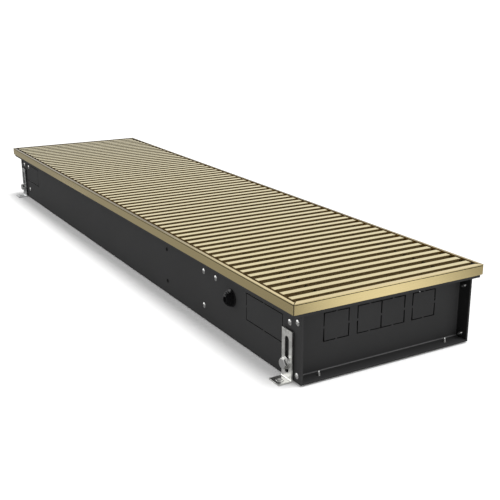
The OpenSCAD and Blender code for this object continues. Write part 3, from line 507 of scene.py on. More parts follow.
def finished(name, body, material, node):
    """Makes a body a piece that rides with a node."""
    mesh = bpy.data.meshes.new(name)
    body.to_mesh(mesh)
    body.free()
    mesh.shade_smooth()
    mesh.set_sharp_from_angle(angle=CREASE)
    for layer in material if isinstance(material, tuple) else (material,):
        mesh.materials.append(layer)
    piece = bpy.data.objects.new(name, mesh)
    bpy.context.scene.collection.objects.link(piece)
    even = piece.modifiers.new("Even shading", "WEIGHTED_NORMAL")
    even.keep_sharp = True
    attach(piece, body_of(node))
    slot_of(node)
    return piece


def rebuilt(node, body, material):
    """Makes a body the piece that stands for a node."""
    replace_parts(finished(node + "_dressed", body, material, node), node)


def dressed(node, material, width=None, bends=(), crisp=None, layer=None):
    """Replaces a node with its own shape, its bends and then its edges rounded.

    Crisp edges get a flat chamfer instead. Of several materials, each face takes the one that
    layer numbers."""
    body = shape_of(node)
    for bend, radius in bends:
        round_edges(body, radius, 4, bend)
    round_edges(body, sizes().edge_round if width is None else width, 2,
                crisp and (lambda edge: not crisp(edge)))
    if crisp:
        round_edges(body, sizes().cut_chamfer, 1, crisp)
    if layer:
        for face in body.faces:
            face.material_index = layer(face)
    rebuilt(node, body, material)


def repainted(node, material):
    """Keeps a node's own shape and gives it a finish."""
    for slot in frame["nodes"][node].material_slots:
        slot.material = material


def pan_screw(radius, length, head_radius, head_height, pitch):
    """A sheet screw: a pan head with a cross recess above zero, a threaded shank below."""
    dome = [(head_radius * share, head_height * (1 - 0.86 * share ** 2))
            for share in (1.0, 0.9, 0.78, 0.64, 0.5, 0.34, 0.17, 0.0)]
    head = turned([(0, 0), (head_radius * 0.97, 0), *dome], 28)
    arm, width = head_radius * 0.55, head_radius * 0.12
    for x, y in ((arm, width), (width, arm)):
        head = cut(head, block((-x, -y, head_height * 0.45), (x, y, head_height * 1.5)))
    root = radius * 0.8
    shank = turned([(0, -length), (root * 0.45, -length + radius * 0.3), (root, -length + radius * 1.2),
                    (root, -1e-5), (0, -1e-5)], 16)
    put(head, shank)
    ridge = helix(root, radius * 0.2, pitch, length - radius * 1.2)
    put(head, ridge, Matrix.Translation((0, 0, -length + radius * 1.2)))
    return head


def hex_bolt(radius, length, flats, head_height, pitch):
    """A bolt: a chamfered hexagon above zero, a threaded shank below."""
    corner = flats / 2 / math.cos(math.pi / 6)
    prism = bmesh.new()
    bmesh.ops.create_cone(prism, cap_ends=True, segments=6, radius1=corner, radius2=corner,
                          depth=head_height, matrix=Matrix.Translation((0, 0, head_height / 2)))
    lens = turned([(0, -head_height), (corner * 1.1, -head_height), (corner * 1.1, head_height * 0.72),
                   (flats / 2 * 0.93, head_height), (0, head_height)], 48)
    head = cut(prism, lens, "INTERSECT")
    round_edges(head, flats * 0.012)
    root = radius * 0.86
    shank = turned([(0, -length), (root * 0.8, -length), (root, -length + radius * 0.2), (root, 0),
                    (0, 0)], 32)
    put(head, shank)
    put(head, helix(root, radius * 0.13, pitch, length - radius * 0.4, 20),
        Matrix.Translation((0, 0, -length + radius * 0.2)))
    return head


def length_value(name, description, default, low, high):
    return FloatProperty(name=name, description=description, default=default, min=low, max=high,
                         unit="LENGTH", precision=5)


def colour_value(name, description, default):
    return FloatVectorProperty(name=name, description=description, default=default, min=0, max=1,
                               subtype="COLOR")


def light_value(name, description, default):
    return FloatProperty(name=name, description=description, default=default, min=0)


class HeaterSizes(bpy.types.PropertyGroup):
    edge_round: length_value("Edge rounding", "Width of the rounding on the edges of cut sheet",
                             0.0002, 5e-5, 0.0006)
    bend_round: length_value("Bend rounding", "Radius on the outside of a bend in the sheet",
                             0.0011, 0.0005, 0.0016)
    # The chamfer along cuts and mitres takes the cut coat as painted shade
    cut_chamfer: length_value("Cut chamfer", "Width of the dark chamfer along cuts in the sheet and mitres",
                              0.0006, 5e-5, 0.0008)
    rail_round: length_value("Rail rounding", "Width of the rounding on the rails' edges",
                             0.00015, 5e-5, 0.0003)
    slat_round: length_value("Slat rounding", "Width of the rounding on the slats' edges",
                             0.0003, 0.0001, 0.0006)
    # The slat edge is painted shade around each slat's bright top
    slat_edge: length_value("Slat edge", "Width of the dull edge around a slat's bright top",
                            0.0005, 0.0001, 0.001)
    screw_pitch: length_value("Sheet screw pitch", "Distance between the turns of a sheet screw's thread",
                              0.0014, 0.0008, 0.002)
    frame_pitch: length_value("Frame screw pitch", "Distance between the turns of a frame screw's thread",
                              0.0009, 0.0006, 0.002)
    motor_pitch: length_value("Motor screw pitch", "Distance between the turns of a motor screw's thread",
                              0.0007, 0.0005, 0.001)
    bolt_pitch: length_value("Bolt pitch", "Distance between the turns of a clamp bolt's thread",
                             0.00125, 0.001, 0.002)
    pipe_pitch: length_value("Pipe thread pitch", "Distance between the turns of the connections' thread",
                             0.0018, 0.001, 0.003)
    grommet_ribs: IntProperty(
        name="Grommet ribs", description="Number of ribs on the cable grommet's dome",
        default=4, min=3, max=8)


class HeaterLooks(bpy.types.PropertyGroup):
    sheet_colour: colour_value("Trough", "Powder coat of the trough", (0.0375, 0.0375, 0.038))
    frame_colour: colour_value("Frame", "Anodising of the frame's rails", (0.80, 0.655, 0.335))
    slat_colour: colour_value("Grille", "Anodising of the slats", (0.84, 0.73, 0.40))
    # Painted shade: the tint of the slats' sides and of the edges of their tops
    slat_side_colour: colour_value("Grille, sides", "Anodising of the slats below their tops",
                                   (0.27, 0.19, 0.08))
    # Painted shade on the lips' far parts
    dull_lip_colour: colour_value("Lip, far part", "Anodising of the far part of the frame's lip",
                                  (0.14, 0.112, 0.062))
    foot_colour: colour_value("Feet", "Zinc of the feet", (0.82, 0.82, 0.79))
    plate_colour: colour_value("Inside plates", "Zinc of the plates inside", (0.52, 0.53, 0.53))
    zinc_colour: colour_value("Screws", "Zinc plate of the screws and bolts", (0.60, 0.60, 0.59))
    fin_colour: colour_value("Fins", "Bare aluminium of the fins", (0.74, 0.75, 0.76))
    impeller_colour: colour_value("Impellers", "Coating of the fan's impellers", (0.15, 0.155, 0.16))
    copper_colour: colour_value("Tubes", "Copper of the exchanger's tubes", (0.74, 0.37, 0.23))
    fitting_colour: colour_value("Fittings", "Brass of the connection blocks and the vent",
                                 (0.72, 0.55, 0.25))
    motor_colour: colour_value("Motor", "Coat of the fan's motor", (0.11, 0.12, 0.125))


class HeaterStudio(bpy.types.PropertyGroup):
    camera_turn: FloatProperty(
        name="Camera turn", description="Turn of the camera about the upright axis",
        default=1.04282526, subtype="ANGLE")
    camera_tilt: FloatProperty(
        name="Camera tilt", description="Angle by which the camera looks down",
        default=0.295081615, subtype="ANGLE")
    camera_away: FloatProperty(
        name="Camera distance", description="Distance from the camera to the point it looks at",
        default=1.98367, unit="LENGTH")
    camera_aim: FloatVectorProperty(
        name="Camera aim", description="Point that the camera looks at", subtype="TRANSLATION",
        default=(-0.290395, 0.310949, -0.128630))
    camera_lens: FloatProperty(
        name="Lens", description="Focal length of the camera in millimetres", default=59.916)
    key_from: FloatVectorProperty(
        name="Key from", description="Place that the key light shines from, towards the origin",
        subtype="TRANSLATION", default=(0.15, 0.14, 1.0))
    key_spread: FloatProperty(
        name="Key spread", description="Angle that the key light fills, which softens its shadow",
        default=math.radians(22), subtype="ANGLE")
    key_power: light_value("Key light", "Strength of the broad light above the rear side", 2.3)
    sky_light: light_value("Sky", "Brightness of the studio's walls", 1.18)
    zenith_drop: light_value("Ceiling", "How much darker the studio's ceiling is than its walls", 1.1)
    front_light: light_value("Front", "What the front of the studio adds to its walls, before the near end",
                             0.7)
    haze: light_value("Haze", "What the walls' foot adds to them, so that it looks white", 0.09)
    low_light: light_value("Low sky", "Brightness of the studio below the horizon, seen in reflections",
                           0.15)
    side_light: light_value("Low sky, far side", "What the far side adds to the low sky", 0.28)
    near_card: light_value("Near card",
                           "What the small card that the near rail reflects adds to the low sky", 1.3)
    far_card: light_value("Far card", "What the card that the screw heads reflect adds to the sky", 1.6)
    floor_tone: FloatProperty(name="Floor", description="Lightness of the floor", default=0.92, min=0, max=1)
    floor_glow: light_value("Floor glow", "Light that the lit floor sheet gives off", 0.1)
    floor_reach: FloatProperty(
        name="Floor size", description="Length and width of the floor", default=800, min=10, unit="LENGTH")
    mirrored_floor: FloatVectorProperty(
        name="Mirrored floor", description="Length and width of the part of the floor that reflections see",
        size=2, default=(0.24, 0.3), min=0, unit="LENGTH")
    mirrored_shift: FloatProperty(
        name="Mirrored floor, shift", description="How far that part lies past each foot, to the far end",
        default=0.05, unit="LENGTH")


class HEATER_OT_stage(bpy.types.Operator):
    """Sets up the pale floor, the soft light and the camera"""
    bl_idname = "heater.stage"
    bl_label = "Stage"

    def execute(self, context):
        scene = context.scene
        studio = scene.heater_studio
        scene.view_settings.view_transform = "Standard"
        scene.view_settings.look = "None"
        self.floor(studio)
        self.sky(scene, studio)
        self.key(scene, studio)
        self.camera(scene, studio)
        return {"FINISHED"}

    def floor(self, studio):
        """The floor, and a part of it that only reflections see, as far as the feet mirror it."""
        recipe = new_recipe("pale_floor")
        drift = recipe.noise(0.6, 2.0)
        tone = studio.floor_tone
        colour = recipe.mix(drift, (tone, tone, tone), (tone * 0.99, tone * 0.99, tone * 0.985))
        material = recipe.surface({
            "Base Color": colour, "Roughness": 0.9, "Specular IOR Level": 0.0,
            "Emission Color": (1, 1, 1, 1), "Emission Strength": studio.floor_glow})
        feet = [sum(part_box("foot_front_" + end), Vector()) / 2 for end in ("near", "far")]
        patches = [(foot.x - studio.mirrored_shift, foot.y, *studio.mirrored_floor) for foot in feet]
        whole = (0, 0, studio.floor_reach, studio.floor_reach)
        for name, places in (("floor", [whole]), ("mirrored_floor", patches)):
            body = bmesh.new()
            for x, y, length, width in places:
                place = Matrix.Translation((x, y, 0)) @ Matrix.Diagonal((length, width, 1, 1))
                bmesh.ops.create_grid(body, x_segments=2, y_segments=2, size=0.5, matrix=place)
            mesh = bpy.data.meshes.new(name)
            body.to_mesh(mesh)
            body.free()
            mesh.materials.append(material)
            sheet = bpy.data.objects.new(name, mesh)
            mirrored = name != "floor"
            sheet.location.z = -NEAR
            sheet.visible_glossy = mirrored
            for kind in ("camera", "diffuse", "transmission", "shadow"):
                setattr(sheet, "visible_" + kind, not mirrored)
            bpy.context.scene.collection.objects.link(sheet)

    def sky(self, scene, studio):
        """The studio's walls and ceiling, and below the horizon what only reflections see."""
        world = bpy.data.worlds.new("studio_sky")
        scene.world = world
        recipe = Recipe(world, "Generated")
        above = recipe.towards(UP * 0.5, -0.04, 0.0, 0.5)
        far_side = recipe.towards((-0.5, 0, 0), -0.5, 0.5, 0.5)
        zenith = recipe.towards(UP, 0.35, 1.0)
        clear = recipe.towards(UP, 0.06, 0.14)
        near_card = recipe.towards((0.72, 0.604, -0.342), 0.991, 1.0)
        far_card = recipe.towards((-0.83, -0.47, 0.30), 0.9, 0.96)
        front = recipe.towards((0.98, 0, 0.2), 0.7, 1.0)
        low = far_side * studio.side_light + near_card * studio.near_card + studio.low_light
        high = far_card * studio.far_card + front * studio.front_light + (1 - clear) * studio.haze
        high = high + studio.sky_light - zenith * studio.zenith_drop
        recipe.surface({"Strength": above * (high - low) + low}, "Background", "OutputWorld")

    def key(self, scene, studio):
        light = bpy.data.lights.new("key", "SUN")
        light.energy = studio.key_power
        light.angle = studio.key_spread
        lamp = bpy.data.objects.new("key", light)
        lamp.location = studio.key_from
        lamp.rotation_euler = (-lamp.location).to_track_quat("-Z", "Y").to_euler()
        lamp.visible_glossy = False
        scene.collection.objects.link(lamp)

    def camera(self, scene, studio):
        camera = bpy.data.objects.new("camera", bpy.data.cameras.new("camera"))
        turn, tilt = studio.camera_turn, studio.camera_tilt
        back = Vector((math.sin(turn) * math.cos(tilt), -math.cos(turn) * math.cos(tilt), math.sin(tilt)))
        camera.location = Vector(studio.camera_aim) + back * studio.camera_away
        camera.rotation_euler = (math.pi / 2 - tilt, 0, turn)
        camera.data.lens = studio.camera_lens
        camera.data.sensor_width = 36
        scene.collection.objects.link(camera)
        scene.camera = camera


class HEATER_OT_frame(bpy.types.Operator):
    """Dresses the four mitred rails, their corner keys, screws and rubber strips"""
    bl_idname = "heater.frame"
    bl_label = "Frame"

    def execute(self, context):
        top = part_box("frame_rail_near")[1].z
        lip_depth = 0.0012
        groove = top - lip_depth - 0.0004
        groove_half = 0.0007

        def mitred(face):
            return min(abs(face.normal.x), abs(face.normal.y)) > 0.3 and abs(face.normal.z) < 0.3

        def layer(face):
            """The mitres and the shadow groove take the near-black cut coat as painted shade, and the lips
            have a finish of their own.
            """
            if mitred(face) or all(abs(vert.co.z - groove) < groove_half for vert in face.verts):
                return 1
            return 2 if face.normal.z > 0.9 and face.calc_center_median().z > top - lip_depth / 2 else 0

        def mitre(edge):
            """The mitre's edges below the lip; the lip's own run on round the corner."""
            return all(vert.co.z < top - lip_depth - GAP for vert in edge.verts) and any(
                mitred(face) for face in edge.link_faces)

        # The rear and far rails' lips take painted shade
        for side, along, lip in (("front", "x", "lip"), ("rear", "x", "dull_lip"), ("near", "y", "frame"),
                                 ("far", "y", "dull_lip")):
            coats = (anodised("frame", along), powder_coat("cut"), anodised(lip, along))
            dressed("frame_rail_" + side, coats, sizes().rail_round, crisp=mitre, layer=layer)
        dressed("frame_corner_keys", moulded_plastic("black"))
        dressed("rest_strips", satin_rubber("clean"), 0.0003)
        boxes = solids_of("frame_screws")
        low, high = boxes[0]
        radius = (high.x - low.x) / 2
        head = radius / 2
        screw = pan_screw(radius * 0.56, high.z - low.z - head, radius, head, sizes().frame_pitch)
        places = [centred(box, "z", box[1].z - head) for box in boxes]
        rebuilt("frame_screws", put(bmesh.new(), screw, *places), zinc_plate())
        return {"FINISHED"}


class HEATER_OT_grille(bpy.types.Operator):
    """Dresses the cross slats with the rods and sleeves that string them together"""
    bl_idname = "heater.grille"
    bl_label = "Grille"

    def execute(self, context):
        self.slats()
        self.rods()
        self.sleeves()
        return {"FINISHED"}

    def slats(self):
        """The slats, whose bright tops have an edge of painted shade in the tint of their sides."""
        body = shape_of("grille_slats")
        round_edges(body, sizes().slat_round)
        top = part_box("grille_slats")[1].z
        tops = {face for face in body.faces
                if face.normal.z > 0.99 and face.calc_center_median().z > top - GAP / 2}
        bmesh.ops.inset_individual(body, faces=list(tops), thickness=sizes().slat_edge)
        for face in body.faces:
            face.material_index = int(face not in tops)
        rebuilt("grille_slats", body, (anodised("slat", "y"), anodised("side", "y")))

    def rods(self):
        body = bmesh.new()
        for box in solids_of("grille_rods"):
            low, high = box
            radius = (high.z - low.z) / 2
            length = high.x - low.x
            rod = turned([(0, 0), (radius * 0.7, 0), (radius, radius * 0.3), (radius, length - radius * 0.3),
                          (radius * 0.7, length), (0, length)], 16)
            put(body, rod, centred(box, "x", low.x) @ TO_X)
        rebuilt("grille_rods", body, zinc_plate())

    def sleeves(self):
        boxes = solids_of("grille_sleeves")
        rod_low, rod_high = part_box("grille_rods")
        bore = (rod_high.z - rod_low.z) / 2 + GAP
        low, high = boxes[0]
        radius = (high.z - low.z) / 2
        length = high.x - low.x
        edge = 0.0003
        outline = [(bore, 0), (radius - edge, 0), (radius, edge), (radius, length - edge),
                   (radius - edge, length), (bore, length)]
        places = [centred(box, "x", box[0].x) @ TO_X for box in boxes]
        body = put(bmesh.new(), turned(outline, 14, closed=True), *places)
        rebuilt("grille_sleeves", body, anodised("sleeve", "x"))


class HEATER_OT_trough(bpy.types.Operator):
    """Dresses the floor pan, the side walls and the end panels, with their bends"""
    bl_idname = "heater.trough"
    bl_label = "Trough"

    def execute(self, context):
        self.bend = sizes().bend_round
        # The sheet's own coat, painted shade inside and in the cuts, and a painted highlight on a bend
        self.coats = tuple(powder_coat(part) for part in ("outside", "inside", "cut", "bend"))
        low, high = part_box("floor_pan")
        self.wall = high.y
        # The pan's upward faces, inside the trough, take painted shade
        dressed("floor_pan", self.coats, bends=[(along_at("x", y=high.y, z=low.z), self.bend)],
                layer=lambda face: int(face.normal.z > 0.9))
        for side in ("front", "rear"):
            self.side_wall("side_wall_" + side)
        for end in ("near", "far"):
            self.end_panel("end_panel_" + end)
        return {"FINISHED"}

    def cut_edges(self, low, high, across):
        """Tests for the edges and the faces of the openings that are cut in a sheet."""
        margin = 12 * SHEET

        def inner(place):
            return (low.z + margin < place.z < high.z - margin * 0.7
                    and low[across] + margin < place[across] < high[across] - margin)

        def rim(edge):
            return all(inner(vert.co) for vert in edge.verts)

        def in_cut(face):
            return abs(face.normal[1 - across]) < 0.9 and all(inner(vert.co) for vert in face.verts)

        return rim, in_cut

    def side_wall(self, node):
        low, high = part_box(node)
        lip_y = max(abs(low.y), abs(high.y))
        rim, in_cut = self.cut_edges(low, high, 0)

        # Painted shade: the cut faces near black, the inner faces darker
        def layer(face):
            inwards = face.normal.y * face.calc_center_median().y < 0
            return 2 if in_cut(face) else int(inwards and abs(face.normal.y) > 0.9)

        dressed(node, self.coats, crisp=rim, layer=layer,
                bends=[(along_at("x", y=place, z=high.z), self.bend) for place in (lip_y, self.wall)])

    def end_panel(self, node):
        low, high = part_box(node)
        reach = max(abs(low.x), abs(high.x))
        face_x = min(abs(low.x), abs(high.x)) + SHEET
        crook = low.z + SHEET
        rim, in_cut = self.cut_edges(low, high, 1)

        def layer(face):
            middle = face.calc_center_median()
            # Painted shade: the cut faces near black
            if in_cut(face):
                return 2
            # A painted highlight along the bend at the panel's foot
            if face_x < abs(middle.x) < face_x + self.bend and crook < middle.z < crook + self.bend:
                return 3
            # Painted shade on the flange's inner faces and the panel's inward faces
            flange = face.normal.y * middle.y < 0 and abs(face.normal.y) > 0.9
            return int(flange or face.normal.x * middle.x < -0.5)

        dressed(node, self.coats, crisp=rim, layer=layer, bends=[
            (along_at("y", x=reach, z=high.z), self.bend), (along_at("y", x=face_x, z=crook), self.bend),
            (along_at("y", x=face_x - SHEET, z=low.z), self.bend),
            (along_at("z", x=face_x), self.bend * 0.5)])


class HEATER_OT_plates(bpy.types.Operator):
    """Dresses the plates and brackets that stand across the trough"""
    bl_idname = "heater.plates"
    bl_label = "Inside plates"

    def execute(self, context):
        for node in ("divider_plate", "middle_plate", "far_plate", "fan_centre_bracket", "motor_bracket"):
            dressed(node, galvanised("dull"))
        return {"FINISHED"}


class HEATER_OT_exchanger(bpy.types.Operator):
    """Dresses the finned exchanger with its tubes, bends, connection blocks and air vent"""
    bl_idname = "heater.exchanger"
    bl_label = "Exchanger"

    def execute(self, context):
        repainted("exchanger_fins", mill_aluminium())
        dressed("exchanger_tubes", drawn_copper(), 0.0001)
        dressed("exchanger_bends", drawn_copper(), 0.0001)
        tubes = solids_of("exchanger_tubes")
        radius = (tubes[0][1].z - tubes[0][0].z) / 2
        self.collars(tubes, radius)
        self.joints(tubes, radius)
        self.blocks(radius)
        dressed("vent_body", machined_brass())
        dressed("vent_screw", zinc_plate(), 0.00015)
        return {"FINISHED"}

    def collars(self, tubes, radius):
        """The collars that the fins have around each tube."""
        fins = solids_of("exchanger_fins")
        gap = fins[1][0].x - fins[0][1].x
        reach = min(gap, 0.0016)
        profile = ((5e-5, 0), (0.0012, 0), (0.0005, reach * 0.35), (0.0004, reach), (5e-5, reach))
        collar = turned([(radius + wide, along) for wide, along in profile], 12, closed=True)
        places = [centred(tube, "x", fin[1].x) @ TO_X for fin in fins[:-1] for tube in tubes]
        finished("fin_collars", put(bmesh.new(), collar, *places), mill_aluminium(), "exchanger_fins")

    def joints(self, tubes, radius):
        """The swollen joints where the bends are soldered in."""
        profile = ((0, -0.005), (0.0007, -0.0042), (0.0008, 0.0042), (0, 0.005))
        inset = 0.0052
        swell = turned([(radius + wide, along) for wide, along in profile], 24)
        bends_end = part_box("exchanger_bends")[1].x
        places = []
        for tube in tubes:
            low, high = tube
            places.append(centred(tube, "x", low.x + inset) @ TO_X)
            if high.x < bends_end:
                places.append(centred(tube, "x", high.x - inset) @ TO_X)
        finished("bend_joints", put(bmesh.new(), swell, *places), drawn_copper(), "exchanger_bends")

    def blocks(self, tube_radius):
        """The connection blocks, with a thread in each and solder around the tube."""
        body = shape_of("connection_blocks")
        round_edges(body, 0.0006)
        mount = next(mount for mount in frame["record"]["mounts"] if mount["name"] == "flow_connection")
        bore = mount["dims"]["r_mm"] / 1000
        depth = mount["dims"]["length_mm"] / 1000
        inset = 0.0004
        solder = ((0, 0), (0.0022, 0), (0.0016, -0.0012), (0, -0.0026))
        for box in solids_of("connection_blocks"):
            low, high = box
            thread = helix(bore, -0.0006, sizes().pipe_pitch, depth - 2 * inset, 24)
            put(body, thread, centred(box, "x", high.x - depth + inset) @ TO_X)
            collar = turned([(tube_radius + wide, along) for wide, along in solder], 28)
            put(body, collar, centred(box, "x", low.x) @ TO_X)
        rebuilt("connection_blocks", body, machined_brass())


class HEATER_OT_fan(bpy.types.Operator):
    """Dresses the cross-flow fan: casings, bearings, shaft, impellers and coupling"""
    bl_idname = "heater.fan"
    bl_label = "Fan"

    def execute(self, context):
        for end in ("near", "far"):
            dressed("fan_casing_" + end, galvanised("dull"), 0.00015)
            repainted("fan_impeller_" + end, dark_aluminium())
        dressed("fan_bearings", satin_rubber("clean"), 0.0004)
        dressed("fan_shaft", zinc_plate(), 0.0004)
        dressed("motor_shaft", zinc_plate(), 0.0003)
        self.coupling()
        return {"FINISHED"}

    def coupling(self):
        """The rubber coupling, with two grooves around it."""
        box = low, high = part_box("fan_coupling")
        shaft_low, shaft_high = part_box("fan_shaft")
        radius = (high.z - low.z) / 2
        bore = (shaft_high.z - shaft_low.z) / 2 + GAP
        length = high.x - low.x
        edge = radius * 0.12
        outline = [(bore, 0), (radius - edge, 0), (radius, edge), (radius, length * 0.3)]
        for share in (0.36, 0.5, 0.64):
            outline += [(radius - edge, length * (share - 0.04)), (radius - edge, length * (share + 0.01)),
                        (radius, length * (share + 0.04))]
        outline += [(radius, length - edge), (radius - edge, length), (bore, length)]
        body = put(bmesh.new(), turned(outline, 32, closed=True), centred(box, "x", low.x) @ TO_X)
        rebuilt("fan_coupling", body, satin_rubber("clean"))


class HEATER_OT_motor(bpy.types.Operator):
    """Builds the fan's motor: two end bells around its laminated stack, and its screws"""
    bl_idname = "heater.motor"
    bl_label = "Motor"
    bore = 0.00305

    def execute(self, context):
        box = low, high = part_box("motor_body")
        radius = (high.z - low.z) / 2
        length = high.x - low.x
        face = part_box("motor_bracket")[0].x + SHEET - low.x
        front_bell = face + 0.013
        rear_bell = length - 0.016
        step = 0.0015
        waist = radius - 0.0012
        edge = 0.002
        body = turned([*self.nose(face), (radius - edge, face), (radius, face + edge), (radius, front_bell),
                       (waist, front_bell + step), (waist, rear_bell - step), (radius, rear_bell),
                       *self.back(radius, length, step), (0, face), (self.bore, face)], 48)
        self.stack(body, radius, front_bell + step, rear_bell - step)
        self.ties(body, radius, face, length)
        bmesh.ops.transform(body, matrix=centred(box, "x", low.x) @ TO_X, verts=body.verts)
        rebuilt("motor_body", body, motor_coat())
        self.screws()
        return {"FINISHED"}

    def nose(self, face):
        """The outline of the boss around the shaft, as far as the motor's face."""
        radius = 0.012
        edge = 0.0008
        return (self.bore, 0.001), (radius - edge, 0), (radius, edge), (radius, face)

    def back(self, radius, length, step):
        """The outline of the rear bell's end, with a shallow dish in it."""
        edge = 0.004
        dish = 0.011
        return ((radius, length - edge), (radius - edge, length), (dish, length),
                (dish - 0.0005, length - step), (0, length - step))

    def stack(self, body, radius, start, end):
        """The laminations, whose edges show between the bells."""
        margin = 0.001
        pitch = 0.0011
        inner = radius - 0.002
        outer = radius - 0.0006
        ring = turned([(inner, 0), (outer, 0), (outer, 0.0007), (inner, 0.0007)], 48, closed=True)
        count = int((end - start - 2 * margin) / pitch)
        put(body, ring, *[Matrix.Translation((0, 0, start + margin + i * pitch)) for i in range(count)])

    def ties(self, body, radius, face, length):
        """Four bolts that hold the bells together, sunk in the stack's edge."""
        inset = 0.007
        reach = length - face - 2 * inset
        tie = turned([(0, 0), (0.0018, 0), (0.0018, reach), (0, reach)], 12)
        place = Matrix.Translation((radius - 0.0022, 0, face + inset))
        put(body, tie, *[Matrix.Rotation(math.radians(turn), 4, "Z") @ place for turn in (0, 90, 180, 270)])

    def screws(self):
        boxes = solids_of("motor_screws")
        low, high = boxes[0]
        radius = (high.z - low.z) / 2
        head = radius / 2
        screw = pan_screw(radius * 0.5, high.x - low.x - head, radius, head, sizes().motor_pitch)
        places = [centred(box, "x", box[0].x + head) @ TO_X @ DOWN for box in boxes]
        rebuilt("motor_screws", put(bmesh.new(), screw, *places), zinc_plate())


class HEATER_OT_electrics(bpy.types.Operator):
    """Dresses the terminal box, its lid, block and screws, and the motor's lead"""
    bl_idname = "heater.electrics"
    bl_label = "Electrics"

    def execute(self, context):
        for node, finish, rounding in (
                ("terminal_box", moulded_plastic("grey"), 0.0005),
                ("terminal_lid", moulded_plastic("grey"), 0.0006),
                ("terminal_block", moulded_plastic("white"), 0.0004),
                ("terminal_screws", machined_brass(), 0.0001),
                ("motor_lead", satin_rubber("clean"), 0.0002),
                ("lead_grommet", satin_rubber("clean"), 0.0003)):
            dressed(node, finish, rounding)
        return {"FINISHED"}


class HEATER_OT_feet(bpy.types.Operator):
    """Dresses the four slotted feet and the washers on them"""
    bl_idname = "heater.feet"
    bl_label = "Feet"

    def execute(self, context):
        for corner in CORNERS:
            # The far feet take the plates' darker zinc as painted shade; the near feet keep the bright zinc
            dressed("foot_" + corner, galvanised("dull" if corner.endswith("far") else "bright"), 0.0003)
        dressed("foot_washers", zinc_plate(), 0.00025)
        return {"FINISHED"}


class HEATER_OT_bolts(bpy.types.Operator):
    """Builds the clamp bolts, and dresses the rivet nuts that they turn in"""
    bl_idname = "heater.bolts"
    bl_label = "Clamp bolts"

    def execute(self, context):
        radius = 0.004
        head = 0.0053
        upright = Matrix.Rotation(math.radians(30), 4, "Z")
        for corner in CORNERS:
            box = low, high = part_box("bolt_" + corner)
            bolt = hex_bolt(radius, high.y - low.y - head, high.x - low.x, head, sizes().bolt_pitch)
            rebuilt("bolt_" + corner, put(bmesh.new(), bolt, on_wall(box, head) @ upright), zinc_plate())
        dressed("rivet_nuts", zinc_plate(), 0.0002)
        return {"FINISHED"}


class HEATER_OT_screws(bpy.types.Operator):
    """Builds the trough's screws and its dark rivets"""
    bl_idname = "heater.screws"
    bl_label = "Trough screws"
    shank = 0.0021
    head = 0.0015

    def execute(self, context):
        self.wall_screws()
        self.floor_screws()
        self.rivets()
        return {"FINISHED"}

    def screw(self):
        """A sheet screw, as long and as wide as those of the frame."""
        low, high = solids_of("wall_screws")[0]
        return pan_screw(self.shank, high.y - low.y - self.head, (high.z - low.z) / 2, self.head,
                         sizes().screw_pitch)

    def wall_screws(self):
        """The screws in the side walls, whose tips take the sheet's coat as painted shade."""
        # Deeper than this the shank takes the sheet's coat: painted shade
        bright = 0.0054
        screw = self.screw()
        for face in screw.faces:
            face.material_index = int(face.calc_center_median().z < -bright)
        places = [on_wall(box, self.head) @ Matrix.Rotation(box[0].x * 40 + box[0].z * 90, 4, "Z")
                  for box in solids_of("wall_screws")]
        rebuilt("wall_screws", put(bmesh.new(), screw, *places), (zinc_plate(), powder_coat("outside")))

    def floor_screws(self):
        places = [centred(box, "z", box[0].z + self.head) @ DOWN
                  @ Matrix.Rotation(box[0].x * 40 + box[0].y * 30, 4, "Z")
                  for box in solids_of("floor_screws")]
        rebuilt("floor_screws", put(bmesh.new(), self.screw(), *places), zinc_plate())

    def rivets(self):
        """Blind rivets: a domed ring around the hollow stem, and the tail behind the sheet."""
        boxes = solids_of("wall_rivets")
        low, high = boxes[0]
        radius = (high.z - low.z) / 2
        height = 0.001
        tail = high.y - low.y - height
        profile = ((0.48, 0), (0.98, 0), (1, 0.25), (0.86, 0.62), (0.6, 0.88), (0.36, 1), (0.32, 0.55),
                   (0.14, 0.5), (0, 0.62))
        rivet = turned([(0, -tail), (radius * 0.36, -tail), (radius * 0.48, -tail + 0.0006),
                        *[(radius * wide, height * tall) for wide, tall in profile]], 24)
        places = [on_wall(box, height) for box in boxes]
        rebuilt("wall_rivets", put(bmesh.new(), rivet, *places), powder_coat("inside"))


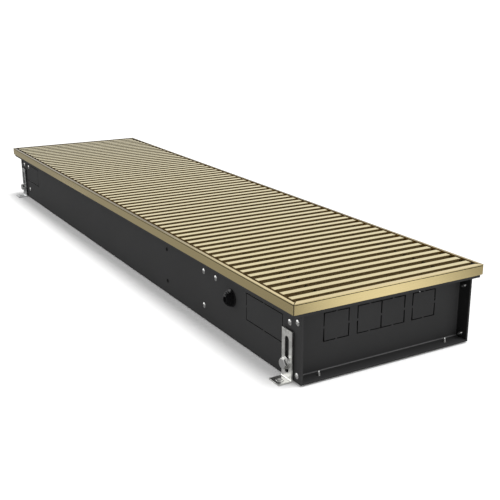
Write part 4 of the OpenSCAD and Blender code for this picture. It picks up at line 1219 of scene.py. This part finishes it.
class HEATER_OT_grommet(bpy.types.Operator):
    """Builds the ribbed rubber grommet of the cable entry"""
    bl_idname = "heater.grommet"
    bl_label = "Cable grommet"
    bore = 0.004
    dome_start = 12
    dome_sweep = 56

    def execute(self, context):
        box = low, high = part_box("cable_grommet")
        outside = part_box("floor_pan")[1].y + SHEET
        radius = (high.z - low.z) / 2
        reach = -low.y - outside
        back = outside + high.y
        edge = 0.0005
        foot = reach * 0.16
        outline = [(self.bore, -back), (radius * 0.86, -back), (radius * 0.9, -back + edge),
                   (radius * 0.9, -SHEET - 2 * GAP), (radius * 0.7, -SHEET - GAP), (radius * 0.7, GAP),
                   (radius * 0.96, GAP), (radius, foot * 0.4), (radius * 0.97, foot),
                   (radius * 0.86, foot * 1.05), *self.ribs(radius, reach), (radius * 0.34, reach),
                   (self.bore + 2 * GAP, reach), (self.bore, reach - 3 * GAP)]
        place = centred(box, "y", -outside) @ TO_FRONT
        body = turned(outline, 48, closed=True)
        # Painted shade: the dome's lower part and its side towards +X take the rubber without sheen
        for face in body.faces:
            middle = TO_FRONT @ face.calc_center_median()
            face.material_index = int(middle.z < -0.1 * radius or middle.x > 0.2 * radius)
        bmesh.ops.transform(body, matrix=place, verts=body.verts)
        rebuilt("cable_grommet", body, (satin_rubber("clean"), satin_rubber("worn")))
        return {"FINISHED"}

    def ribs(self, radius, reach):
        """The dome's outline from its foot to its top, each rib as (share of its step, depth) points."""
        profile = ((0.06, 0.0016), (0.26, 0.0016), (0.42, 0.0002), (0.62, 0.0), (0.84, 0.0004))
        count = sizes().grommet_ribs
        step = math.radians(self.dome_sweep / count)
        height = reach / math.sin(math.radians(self.dome_start + self.dome_sweep))
        points = []
        for rib in range(count):
            for share, deep in profile:
                angle = math.radians(self.dome_start) + step * (rib + share)
                rise = (1 - deep / reach) * height * math.sin(angle)
                points.append(((radius * 0.97 - deep) * math.cos(angle), rise - deep))
        return points


class HEATER_PT_panel(bpy.types.Panel):
    """Lists the sizes, the colours and the operators"""
    bl_idname = "HEATER_PT_panel"
    bl_label = "Trench heater"
    bl_space_type = "VIEW_3D"
    bl_region_type = "UI"
    bl_category = "Heater"

    def draw(self, context):
        for group in GROUPS:
            values = getattr(context.scene, group)
            for name in values.__annotations__:
                self.layout.prop(values, name)
        for operator in OPERATORS:
            self.layout.operator(operator.bl_idname)


OPERATORS = (HEATER_OT_stage, HEATER_OT_frame, HEATER_OT_grille, HEATER_OT_trough, HEATER_OT_plates,
             HEATER_OT_exchanger, HEATER_OT_fan, HEATER_OT_motor, HEATER_OT_electrics, HEATER_OT_feet,
             HEATER_OT_bolts, HEATER_OT_screws, HEATER_OT_grommet)
GROUPS = {"heater_sizes": HeaterSizes, "heater_looks": HeaterLooks, "heater_studio": HeaterStudio}


def register():
    for kind in (*GROUPS.values(), *OPERATORS, HEATER_PT_panel):
        bpy.utils.register_class(kind)
    for name, kind in GROUPS.items():
        setattr(bpy.types.Scene, name, PointerProperty(type=kind))


def unregister():
    for name in GROUPS:
        delattr(bpy.types.Scene, name)
    for kind in reversed((*GROUPS.values(), *OPERATORS, HEATER_PT_panel)):
        bpy.utils.unregister_class(kind)


def main():
    register()
    for operator in OPERATORS:
        getattr(bpy.ops.heater, operator.bl_idname.split(".")[1])()


if __name__ == "__main__":
    main()
